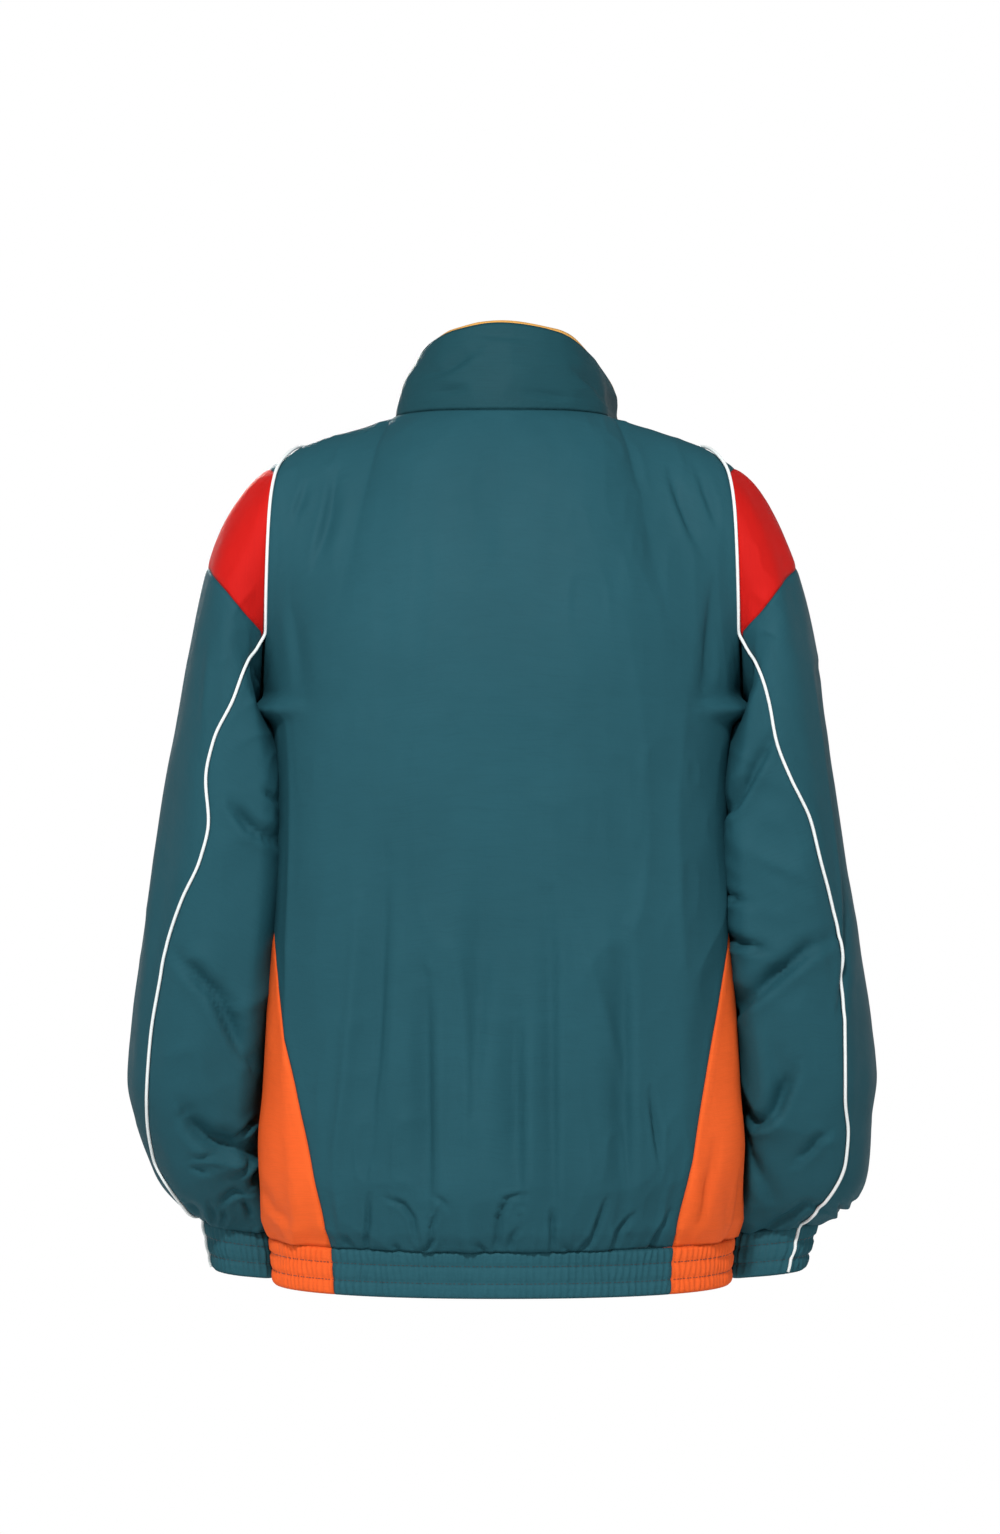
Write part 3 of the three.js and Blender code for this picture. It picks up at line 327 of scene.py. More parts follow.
def normals(surface, a, b, inside, a_limits=(-1e9, 1e9), b_limits=(-1e9, 1e9), step=0.004):
    """Outward direction of a surface given by two running values."""
    along_a = surface(np.minimum(a + step, a_limits[1]), b) - surface(np.maximum(a - step, a_limits[0]), b)
    along_b = surface(a, np.minimum(b + step, b_limits[1])) - surface(a, np.maximum(b - step, b_limits[0]))
    normal = unit(np.cross(along_a, along_b))
    turned = np.sum(normal * (surface(a, b) - inside), -1) < 0
    return np.where(turned[..., None], -normal, normal)


def body_normal(face, column, level):
    base = body_base(face, column, level)
    inside = place(60 + 0 * column, SIDE_Y, np.minimum(base[..., 2], -150))
    normal = normals(lambda a, b: body_base(face, a, b), column, level, inside, (0, 1), (0, 2))
    if face == "back":
        normal[..., 0] = np.where(column >= 1, 0, normal[..., 0])
    return unit(normal)


# Sleeve: the turn goes from the shoulder's ridge (0) over the back (90) to the inside (180)
def ring_point(ring, turn):
    inner_back = smooth(90, 120, turn) * (turn <= 180)
    power = 2 / mix(SLEEVE_SQUARE, INNER_CORNER, inner_back)
    across = signed_power(np.cos(np.radians(turn)), power)
    along = signed_power(np.sin(np.radians(turn)), power)
    return place(
        (ring["out_x"] + ring["in_x"]) / 2 + across * (ring["out_x"] - ring["in_x"]) / 2,
        (ring["back"] + ring["front"]) / 2 + along * (ring["back"] - ring["front"]) / 2,
        (ring["out_z"] + ring["in_z"]) / 2 + across * (ring["out_z"] - ring["in_z"]) / 2,
    )


def sleeve_ring(index, turn):
    k = np.clip(index - 1, 0, SLEEVE_END - 1)
    ring = {name: np.asarray(values, float)[k] for name, values in SLEEVE_RINGS.items()}
    return np.where((index == 0)[..., None], armhole_point(turn), ring_point(ring, turn))


def sleeve_base(turn, reach):
    turn, reach = np.broadcast_arrays(np.asarray(turn, float), np.asarray(reach, float))
    first = np.clip(np.floor(reach), 0, SLEEVE_END - 1).astype(int)
    start, end = sleeve_ring(first, turn), sleeve_ring(first + 1, turn)
    rise = end - start
    before = start - sleeve_ring(np.maximum(first - 1, 0), turn)
    after = sleeve_ring(np.minimum(first + 2, SLEEVE_END), turn) - end
    leave = np.where((first == 0)[..., None], rise, even_slope(before, rise))
    arrive = np.where((first + 2 > SLEEVE_END)[..., None], rise, even_slope(rise, after))
    return curve(start, end, leave, arrive, (reach - first)[..., None])


def sleeve_normal(turn, reach):
    inside = (sleeve_base(0 * turn, reach) + sleeve_base(0 * turn + 180, reach)) / 2
    return normals(lambda a, b: sleeve_base(a * 90, b), turn / 90, reach, inside, b_limits=(0, SLEEVE_END))


def make_piped_table(side):
    """Turn of the piped seam at each reach, where the sleeve passes the seam's line."""
    reach = np.linspace(CHEVRON_TIP, SLEEVE_END, 400)
    out, inside = np.zeros_like(reach), np.full_like(reach, 150)
    for _ in range(24):
        middle = (out + inside) / 2
        points = sleeve_base(middle, reach)
        beyond = points[..., 0] > through(PIPED_SEAM, "z", side, points[..., 2])
        out, inside = np.where(beyond, middle, out), np.where(beyond, inside, middle)
    turn = mix(CHEVRON_CORNER, np.maximum(out, 8), smooth(CHEVRON_TIP, 0.9, reach))
    return reach, turn


PIPED = {side: make_piped_table(side) for side in SIDES}


def piped_turn(side, reach):
    return np.interp(reach, *PIPED[side])


def reach_of_cut(turn, corner, ridge, least):
    """Where a slanted cross seam lies, which is straight when seen from behind."""
    seam = armhole_point(corner)
    slope = (ridge[1] - seam[2]) / (ridge[0] - seam[0])
    near, far = np.zeros_like(turn), np.full_like(turn, 5.0)
    for _ in range(24):
        middle = (near + far) / 2
        points = sleeve_base(turn, middle)
        above = points[..., 2] - seam[2] > slope * (points[..., 0] - seam[0])
        near, far = np.where(above, middle, near), np.where(above, far, middle)
    return np.maximum(near, least)


def cap_reach(turn):
    cut = reach_of_cut(turn, CAP_CORNER, CAP_RIDGE, CAP_TIP)
    return np.where(np.abs(turn) > CAP_CORNER + 1e-6, 0, cut)


def chevron_reach(turn):
    cut = reach_of_cut(turn, CHEVRON_CORNER, CHEVRON_RIDGE, CHEVRON_TIP)
    return np.where(np.abs(turn) > CHEVRON_CORNER - 1e-6, CHEVRON_TIP, cut)


def cuff_base(turn, down):
    top = sleeve_ring(np.full(np.shape(turn), SLEEVE_END), turn)
    return mix(top, ring_point(CUFF_BOTTOM, turn), np.asarray(down)[..., None])


def cuff_normal(turn, down):
    middle = (cuff_base(0 * turn, down) + cuff_base(0 * turn + 180, down)) / 2
    return normals(lambda a, b: cuff_base(a * 90, b), turn / 90, down, middle)


# Collar: from the middle of the back (0) to its front end (1), and up from its seam
def collar_base(side, around, rise):
    top = place(*(through(COLLAR_TOP[side], "around", name, around) for name in "xyz"))
    points = mix(neck_seam(around), top, rise[..., None])
    out = unit(points * np.array([1, 1, 0]) + np.array([0, 20, 0]))
    return points + out * (COLLAR_ROLL * 4 * rise * (1 - rise))[..., None]


def collar_normal(side, around, rise):
    inside = place(0 * around, -20 - 60 * around, 0)
    surface = lambda a, b: collar_base(side, a, b)
    normal = normals(surface, around, np.minimum(rise, 1), inside, (0, 1), (0, 1))
    normal[..., 0] = np.where(around <= 0, 0, normal[..., 0])
    return unit(normal)


# Smooth noise on a lattice of random values
LATTICE_SIZE = 64
LATTICE = np.random.default_rng(7).uniform(-1, 1, (LATTICE_SIZE,) * 3)


def noise(points, scale, shift=0.0):
    """Between -1 and 1, with features about as large as scale, in millimetres."""
    at = points / np.asarray(scale, float) + shift
    cell = np.floor(at).astype(int)
    t = at - cell
    t = t * t * (3 - 2 * t)
    total = 0
    for dx in (0, 1):
        for dy in (0, 1):
            for dz in (0, 1):
                spot = (cell + np.array([dx, dy, dz])) % LATTICE_SIZE
                corner = LATTICE[spot[..., 0], spot[..., 1], spot[..., 2]]
                share_x = t[..., 0] if dx else 1 - t[..., 0]
                share_y = t[..., 1] if dy else 1 - t[..., 1]
                share_z = t[..., 2] if dz else 1 - t[..., 2]
                total = total + corner * share_x * share_y * share_z
    return total


def ridges(points, scale, shift=0.0):
    """Crisp rounded ridges between 0 and 1, as thin nylon makes."""
    return (1 - np.abs(noise(points, scale, shift))) ** 3


# Creases as they are seen from behind, in millimetres at the middle of the jacket: their points,
# width and depth. Each is a valley with a steep side and a long one, which lies on the left as one
# goes along the line seen from behind. A depth below zero makes a narrow ridge.
BACK_CREASES = [
    ([(158, -60), (166, -86)], 5, 3),
    ([(134, -52), (139, -83), (150, -122)], 7, 4.5),
    ([(-134, -52), (-155, -108)], 7, 4.5),
    ([(-155, -48), (-171, -92)], 5, 3),
    ([(170, -150), (160, -230)], 9, 2.4),
    ([(-168, -140), (-160, -235)], 9, 2.6),
    ([(115, -392), (125, -536), (135, -622)], 5, -2.6),
    ([(131, -626), (127, -664)], 4, -2.2),
    ([(-46, -370), (-78, -470), (-112, -580)], 6, -2.4),
    ([(-118, -545), (-126, -604)], 4, 4),
    ([(58, -640), (59, -560), (60, -455)], 13, 8),
    ([(-14, -636), (-13, -560), (-12, -480)], 12, 7.5),
    ([(-42, -648), (-41, -520), (-40, -390)], 9, 5),
    ([(-101, -648), (-100, -530), (-98, -420)], 12, 7),
    ([(24, -560), (14, -450), (8, -330)], 14, 5),
    ([(106, -600), (98, -480), (92, -360)], 14, 5),
    ([(93, -632), (80, -637), (72, -648), (69, -664)], 3.4, 4),
    ([(54, -630), (48, -632), (45, -638)], 3.4, 3),
    ([(53, -640), (57, -652), (58, -662)], 3.4, 3.6),
    ([(66, -673), (58, -670), (53, -660)], 3.4, 3.6),
    ([(108, -630), (109, -673)], 3.4, 4),
    ([(118, -668), (126, -660)], 3.4, 2.5),
    ([(-18, -626), (-4, -629), (3, -643), (6, -673)], 3.4, 4.4),
    ([(-6, -673), (-9, -661), (-15, -654)], 3.4, 3.2),
    ([(12, -673), (20, -664)], 3.4, 3),
    ([(-39, -640), (-39, -673)], 3.4, 4),
    ([(-82, -632), (-72, -660), (-59, -674)], 3.4, 4.4),
    ([(-104, -644), (-92, -658), (-86, -673)], 3.4, 4),
    ([(-134, -642), (-117, -674)], 3.4, 4.2),
    ([(88, -668), (82, -673)], 3.4, 2.5),
    ([(-48, -668), (-56, -674)], 3.4, 2.5),
    ([(-171, -585), (-167, -606), (-162, -627), (-146, -673)], 4, 4.5),
    ([(-192, -606), (-186, -650), (-175, -670)], 3.4, 4),
    ([(192, -620), (184, -640), (170, -652)], 5, 3),
]
SLEEVE_CREASES = {
    "left": [
        ([(196, -212), (189, -225), (178, -240)], 5, 6),
        ([(185, -242), (179, -256)], 4, 5),
        ([(193, -305), (183, -316)], 4, 3.5),
        ([(217, -318), (204, -334), (193, -342), (184, -349)], 7, 9),
        ([(259, -441), (244, -456), (231, -469), (223, -485), (215, -502), (207, -518)], 9, 12),
        ([(221, -468), (211, -477)], 3.4, 3),
        ([(254, -565), (249, -574), (242, -581), (235, -586), (223, -590), (205, -594), (194, -593)],
         11, 13),
        ([(212, -585), (207, -578), (202, -572), (192, -566)], 3.6, 7),
        ([(249, -600), (242, -597), (230, -596), (212, -600)], 4, 3.6),
        ([(213, -612), (208, -607), (204, -600), (195, -597)], 4, 5),
        ([(202, -619), (196, -608)], 4, 4),
        ([(249, -605), (236, -610)], 4, 2.6),
        ([(224, -636), (221, -631), (214, -626), (205, -626)], 4, 5),
        ([(208, -631), (205, -638), (202, -646)], 3.6, 5),
        ([(223, -652), (221, -645), (222, -638)], 3.4, 4),
        ([(235, -635), (229, -650)], 3.4, 4),
        ([(252, -633), (240, -646)], 5, 5),
        ([(233, -184), (237, -233), (238, -266)], 3.4, -1.8),
        ([(255, -246), (273, -328), (278, -377), (281, -440)], 4, -2),
        ([(228, -341), (222, -396)], 3.4, -1.4),
    ],
    "right": [
        ([(-172, -280), (-181, -262)], 4, 4),
        ([(-173, -334), (-189, -315), (-202, -291), (-215, -267)], 7, 8),
        ([(-176, -385), (-199, -395)], 4, 5),
        ([(-179, -422), (-194, -427), (-208, -432), (-215, -435)], 5.5, 7),
        ([(-189, -485), (-196, -478), (-208, -465), (-223, -452), (-237, -441), (-246, -434),
          (-260, -428)], 9, 12),
        ([(-197, -562), (-201, -567), (-207, -571), (-212, -569), (-220, -561), (-227, -546),
          (-235, -529)], 8, 9.5),
        ([(-231, -604), (-235, -599), (-242, -592), (-247, -586), (-258, -579)], 5, 5),
        ([(-202, -659), (-225, -644), (-233, -636), (-241, -640)], 4, 5),
        ([(-253, -635), (-249, -655)], 3.6, 5.5),
        ([(-261, -633), (-258, -657)], 3.6, 5.5),
        ([(-229, -648), (-229, -664)], 3.4, 4),
        ([(-196, -582), (-208, -616), (-214, -639)], 6, 3.4),
        ([(-252, -207), (-264, -300), (-274, -370), (-276, -400), (-275, -440), (-270, -480)], 5, 7),
        ([(-215, -500), (-222, -560)], 9, 3),
    ],
}
COLLAR_CREASES = [
    ([(61, 26), (42, 32), (18, 48)], 6, 2.6),
    ([(55, 12), (29, 16)], 4, 2.2),
    ([(-20, 13), (-59, 8)], 4, 2.4),
    ([(-59, 31), (-75, 19), (-92, -5)], 6, 4),
    ([(20, 60), (-24, 56)], 5, 1.6),
]
# Front creases are the maker's own, seen from behind as the others are
FRONT_CREASES = [
    ([(120, -60), (90, -150), (70, -240)], 14, 3),
    ([(-118, -60), (-92, -160), (-66, -250)], 14, 3),
    ([(150, -110), (120, -190)], 9, 3),
    ([(-150, -100), (-126, -200)], 9, 3),
    ([(40, -260), (48, -420), (44, -600)], 13, 3),
    ([(-42, -280), (-52, -440), (-46, -590)], 13, 3),
    ([(100, -380), (112, -500), (108, -640)], 12, -3),
    ([(-98, -400), (-112, -520), (-104, -640)], 12, -3),
    ([(20, -150), (26, -330)], 8, 2),
    ([(-20, -150), (-27, -320)], 8, 2),
    ([(150, -280), (140, -420)], 10, 2.6),
    ([(-152, -270), (-140, -410)], 10, 2.6),
]


def seen_from_behind(points):
    """Where the photograph's camera sees points, in the plane through the jacket's middle."""
    nearer = (1 - points[..., 1] / CAMERA_AWAY)[..., None]
    middle = np.array([CAMERA_SIDE, CAMERA_HEIGHT])
    return (points[..., [0, 2]] - middle) / nearer + middle


# A fold's height across its line, in widths: a steep lip on one side and a long slope on the other
FOLD_PROFILE = {
    "across": [-2.1, -1.35, -0.8, -0.32, 0, 0.22, 1.35, 1.9, 2.7],
    "height": [0, 0.1, 0.26, -0.2, -1, -0.95, -0.08, 0.08, 0],
}


def crease_field(creases, seen):
    """How far creases push the cloth out, in millimetres."""
    flat = seen.reshape(-1, 2)
    total = np.zeros(len(flat))
    for line, width, depth in creases:
        line = np.asarray(line, float)
        near = np.all((flat > line.min(0) - 4 * width) & (flat < line.max(0) + 4 * width), axis=1)
        if not near.any():
            continue
        spots = flat[near]
        lengths = np.linalg.norm(np.diff(line, axis=0), axis=1)
        best = np.full(len(spots), 1e9)
        signed, along = np.zeros(len(spots)), np.zeros(len(spots))
        for k, (start, end) in enumerate(zip(line[:-1], line[1:])):
            run = (end - start) / lengths[k]
            offset = spots - start
            t = np.clip(offset @ run, 0, lengths[k])
            away = np.linalg.norm(offset - t[:, None] * run, axis=1)
            closer = away < best
            turn = np.sign(offset[:, 0] * run[1] - offset[:, 1] * run[0])
            best = np.where(closer, away, best)
            signed = np.where(closer, away * turn, signed)
            along = np.where(closer, lengths[:k].sum() + t, along)
        taper = np.sin(np.pi * np.clip(along / lengths.sum(), 0.04, 0.96)) ** 0.6
        if depth < 0:
            total[near] -= depth * taper * np.exp(-((best / width) ** 2))
            continue
        total[near] += depth * taper * through(FOLD_PROFILE, "across", "height", signed / width)
    return total.reshape(seen.shape[:-1])


def seam_distance(points, seam):
    """How far each point lies from the nearest point of a seam."""
    flat = points.reshape(-1, 3)
    seam = np.asarray(seam, float).reshape(-1, 3)
    away = np.empty(len(flat))
    for start in range(0, len(flat), 4000):
        chunk = flat[start : start + 4000]
        away[start : start + 4000] = np.sqrt(((chunk[:, None] - seam[None]) ** 2).sum(-1).min(1))
    return away.reshape(points.shape[:-1])


# Seams as close rows of points, on the left side
def fine(start, end, count=160):
    return np.linspace(start, end, count)


ARMHOLE_SEAM = armhole_point(fine(-180, 180, 260))
SHOULDER_SEAM = mix(armhole_point(0), neck_seam(0.5), fine(0, 1, 60)[:, None])
COLLAR_SEAM = neck_seam(fine(0, 1))
GUSSET_HEIGHTS = fine(HEM_TOP, GUSSET_TIP, 200)
GUSSET_SEAMS = np.concatenate([
    body_section(sign * gusset_angle(GUSSET_HEIGHTS), GUSSET_HEIGHTS) for sign in (-1, 1)
])
HEM_SEAM = body_section(fine(-90, 90, 400), HEM_TOP)


def dressed(points, normal, fields, side="left", fade=(), dips=(), fade_over=14):
    """Moves a surface out by its fields, which die away at fade seams, and sinks it at dip seams."""
    push = fields
    if len(fade):
        push = push * smooth(0, fade_over, seam_distance(points, np.concatenate(fade)))
    if len(dips):
        away = seam_distance(points, np.concatenate(dips))
        push = push - SEAM_SINK * np.exp(-((away / SEAM_REACH) ** 2))
    return mirrored(points + normal * push[..., None], side)


# Gathers beside the elastic: s is the place along the seam and up the height above it
def gathers(s, up, size=1.0, shift=0.0):
    spots = place(s, 0 * s, up)
    bent = spots + place(5 * noise(spots, (30, 1, 40), shift + 3.3), 0 * s, 0 * s)
    small = ridges(bent, (9, 1, 90), shift)
    large = ridges(bent, (24, 1, 160), shift + 5.1)
    rise = 1 - np.exp(-np.maximum(up, 0) / 2.5)
    low, high = 1.7 * small * np.exp(-up / 16), 2.6 * large * np.exp(-up / 48)
    return size * rise * (low + high - 0.8 * np.exp(-up / 30))


ARC_ANGLES = fine(-90, 90, 721)
ARC_LENGTHS = arc_lengths(body_section(ARC_ANGLES, HEM_TOP), 0)


def hem_arc(angle):
    return np.interp(angle, ARC_ANGLES, ARC_LENGTHS)


# Cloth beside the sleeves stands out, so that no gap shows: how far, at what height, over what reach
WAIST_PUSH = (3.2, -578, 30)
UNDERARM_PUSH = (14, UNDERARM - 8, 6.5)


def pushed_band(z, push, middle, reach):
    return push * np.exp(-(((z - middle) / reach) ** 2))


# Cloth fields of the body, worked out where the cloth really is, on either side
def body_fields(points, normal, hem_angle, side):
    real, facing = mirrored(points, side), normal[..., 1]
    seen = seen_from_behind(real)
    up = real[..., 2] - HEM_TOP
    low = smooth(-230, -520, real[..., 2])
    back = crease_field(BACK_CREASES, seen) * smooth(0.05, 0.5, facing)
    front = crease_field(FRONT_CREASES, seen) * smooth(0.05, 0.5, -facing)
    drape = 4.2 * noise(real, (55, 90, 330), 2.2) * (0.35 + 0.65 * low)
    folds = 4.6 * (ridges(real, (34, 60, 190), 8.7) - 0.35) * (0.3 + 0.7 * low)
    patch = smooth(-0.1, 0.6, noise(real, (80, 80, 90), 4.4))
    crinkle = 1.5 * (ridges(real, (15, 30, 42), 1.9) - 0.3) * (0.3 + 0.7 * patch)
    beside = smooth(0.6, 0.95, np.abs(normal[..., 0]))
    beside_push = pushed_band(real[..., 2], *WAIST_PUSH) + pushed_band(real[..., 2], *UNDERARM_PUSH)
    sign = -1 if side == "right" else 1
    s = sign * hem_arc(hem_angle)
    return back + front + drape + folds + crinkle + gathers(s, up) + beside * beside_push


def sleeve_fields(points, normal, s, up, side, piped):
    real, facing = mirrored(points, side), normal[..., 1]
    seen = seen_from_behind(real)
    other = "left" if side == "right" else "right"
    back = crease_field(SLEEVE_CREASES[side], seen) * smooth(-0.25, 0.15, facing)
    turned = seen * np.array([-1, 1])
    front = crease_field(SLEEVE_CREASES[other], turned) * smooth(-0.1, 0.4, -facing)
    outside = smooth(0.35, 0.85, normal[..., 0])
    slant = real + place(0 * s, 0 * s, 0.5 * np.abs(real[..., 0]))
    drape = 2.0 * noise(slant, (50, 60, 150), 6.1)
    folds = 3.4 * (ridges(slant, (60, 60, 60), 3.7) - 0.35) * smooth(-130, -330, real[..., 2])
    patch = smooth(-0.2, 0.5, noise(real, (60, 60, 70), 9.4))
    crinkle = 1.6 * (ridges(slant, (24, 30, 22), 5.9) - 0.3) * (0.25 + 0.75 * patch)
    lengthwise = 1.8 * outside * noise(real, (30, 26, 260), 12.6)
    loose = drape + (folds + crinkle) * (1 - 0.8 * outside) + lengthwise
    stiff = mix(0.25, 1, smooth(0, 24, seam_distance(points, piped)))
    corner = 2 * np.maximum(-normal[..., 0], 0) * np.maximum(facing, 0)
    full = 5 * corner * smooth(-200, -420, real[..., 2]) * smooth(0, 60, up)
    sign = -1 if side == "right" else 1
    return back + front * stiff + loose * stiff + full + gathers(sign * s, up, 1.6, 11.0)


# Meshes
def smooth_shaded(mesh):
    mesh.polygons.foreach_set("use_smooth", np.ones(len(mesh.polygons), bool))


def make_object(name, vertices, faces, material, cloth=None):
    mesh = bpy.data.meshes.new(name)
    mesh.from_pydata((np.asarray(vertices) * MM).tolist(), [], faces)
    if cloth is not None:
        layer = mesh.attributes.new("cloth", "FLOAT_VECTOR", "POINT")
        layer.data.foreach_set("vector", (np.asarray(cloth) * MM).ravel())
    mesh.materials.append(material)
    smooth_shaded(mesh)
    mesh.update()
    piece = bpy.data.objects.new(name, mesh)
    bpy.context.scene.collection.objects.link(piece)
    return piece


def cloth_sheet(name, outer, normal, material, closed=False, thick=THICK):
    """Cloth from a grid of outer points, with an inner face and turned edges."""
    rows, columns = outer.shape[:2]
    inner = outer - normal * thick
    across, along = arc_lengths(outer, 1), arc_lengths(outer, 0)
    edge = np.minimum(along, along[-1:] - along)
    if not closed:
        edge = np.minimum(edge, np.minimum(across, across[:, -1:] - across))
    cloth = place(across - across[:, -1:] / 2, along, edge)
    index = np.arange(rows * columns).reshape(rows, columns)
    if closed:
        index = np.concatenate([index, index[:, :1]], axis=1)
    a, b, c, d = index[:-1, :-1], index[:-1, 1:], index[1:, 1:], index[1:, :-1]
    quads = np.stack([a, b, c, d], -1).reshape(-1, 4)
    first = outer[0, 0], outer[0, 1], outer[1, 0]
    if np.dot(np.cross(first[1] - first[0], first[2] - first[0]), normal[0, 0]) < 0:
        quads = quads[:, ::-1]
        flipped = True
    else:
        flipped = False
    shift = rows * columns
    faces = [quads, quads[:, ::-1] + shift]
    rims = [(index[0, :-1], index[0, 1:], True), (index[-1, :-1], index[-1, 1:], False)]
    if not closed:
        rims += [(index[:-1, 0], index[1:, 0], False), (index[:-1, -1], index[1:, -1], True)]
    for start, end, turned in rims:
        rim = np.stack([start, start + shift, end + shift, end], -1)
        faces.append(rim if turned != flipped else rim[:, ::-1])
    vertices = np.concatenate([outer.reshape(-1, 3), inner.reshape(-1, 3)])
    cloth = np.concatenate([cloth.reshape(-1, 3)] * 2)
    piece = make_object(name, vertices, np.concatenate(faces).tolist(), material, cloth)
    piece["flat_mm"] = [float(across[:, -1].mean()), float(along[-1].mean())]
    return piece


def tube(name, path, normal, radius, material, sides=8):
    """A round cord along a path."""
    path, normal = np.asarray(path), np.asarray(normal)
    run = unit(np.gradient(path, axis=0))
    across = unit(np.cross(run, normal))
    up = unit(np.cross(across, run))
    angles = np.arange(sides) * 2 * math.pi / sides
    radius = np.broadcast_to(radius, len(path))[:, None, None]
    rings = path[:, None] + radius * (
        across[:, None] * np.sin(angles)[None, :, None] + up[:, None] * np.cos(angles)[None, :, None]
    )
    count = len(path)
    index = np.arange(count * sides).reshape(count, sides)
    index = np.concatenate([index, index[:, :1]], axis=1)
    quads = np.stack([index[:-1, :-1], index[1:, :-1], index[1:, 1:], index[:-1, 1:]], -1).reshape(-1, 4)
    ends = [list(range(sides)), list(range(count * sides - 1, (count - 1) * sides - 1, -1))]
    length = np.repeat(arc_lengths(path, 0), sides)
    cloth = place(np.tile(angles * radius.mean(), count), length, 0 * length)
    return make_object(name, rings.reshape(-1, 3), quads.tolist() + ends, material, cloth)


def resample(path, step, *others):
    length = arc_lengths(path, 0)
    spots = np.arange(step / 2, length[-1], step)
    pick = lambda values: np.stack([np.interp(spots, length, values[:, k]) for k in range(3)], -1)
    return [pick(values) for values in (path, *others)]


def stitches(name, rows, material, pitch=3.4, length=2.7, width=0.5, high=0.3):
    """Short raised stitches along rows, each given by its path and outward directions."""
    vertices, faces = [], []
    for path, normal in rows:
        spots, ups = resample(np.asarray(path), pitch, np.asarray(normal))
        run = unit(np.gradient(spots, axis=0))
        ups = unit(ups)
        across = np.cross(run, ups)
        for spot, along, side, up in zip(spots, run, across, ups):
            base = len(vertices)
            for share, size in ((-0.5, 0.35), (0.0, 1.0), (0.5, 0.35)):
                middle = spot + along * (length * share)
                vertices.extend([
                    middle + side * width * size,
                    middle + up * high * size,
                    middle - side * width * size,
                ])
            for k in (0, 3):
                faces.extend([
                    (base + k, base + k + 1, base + k + 4, base + k + 3),
                    (base + k + 1, base + k + 2, base + k + 5, base + k + 4),
                ])
            faces.extend([(base, base + 2, base + 1), (base + 6, base + 7, base + 8)])
    return make_object(name, vertices, faces, material)


# Materials
def feed(tree, made, inputs):
    """Sets a node's inputs, each to a value or to the output of another node."""
    for name, value in inputs.items():
        if isinstance(value, bpy.types.NodeSocket):
            tree.links.new(value, made.inputs[name])
        else:
            made.inputs[name].default_value = value
    return made


def node(tree, kind, inputs=None, **values):
    made = tree.nodes.new("ShaderNode" + kind)
    for name, value in values.items():
        setattr(made, name, value)
    return feed(tree, made, inputs or {})


def wave(tree, vector, scale, distortion, detail, direction):
    inputs = {"Vector": vector, "Scale": scale, "Distortion": distortion, "Detail": detail}
    return node(tree, "TexWave", inputs, wave_type="BANDS", bands_direction=direction).outputs["Fac"]


def speckle(tree, vector, scale, detail, roughness, distortion=0.0):
    inputs = {"Vector": vector, "Scale": scale, "Detail": detail}
    inputs.update({"Roughness": roughness, "Distortion": distortion})
    return node(tree, "TexNoise", inputs).outputs["Fac"]


def blend(tree, share, first, second):
    return node(tree, "MixRGB", {"Fac": share, "Color1": first, "Color2": second}).outputs["Color"]


def remap(tree, value, low, high, to_low, to_high):
    limits = {"From Min": low, "From Max": high, "To Min": to_low, "To Max": to_high}
    return node(tree, "MapRange", {"Value": value, **limits}).outputs["Result"]


def relief(tree, height, strength, distance, under=None):
    inputs = {"Height": height, "Strength": strength, "Distance": distance}
    if under is not None:
        inputs["Normal"] = under
    return node(tree, "Bump", inputs).outputs["Normal"]


def shade(colour, factor):
    return tuple(min(1.0, channel * factor) for channel in colour[:3]) + (1.0,)


def linear(red, green, blue):
    channels = []
    for value in (red, green, blue):
        value /= 255
        channels.append(value / 12.92 if value <= 0.04045 else ((value + 0.055) / 1.055) ** 2.4)
    return (*channels, 1.0)


def blank_material(name):
    material = bpy.data.materials.new(name)
    material.use_nodes = True
    return material, material.node_tree, material.node_tree.nodes["Principled BSDF"]


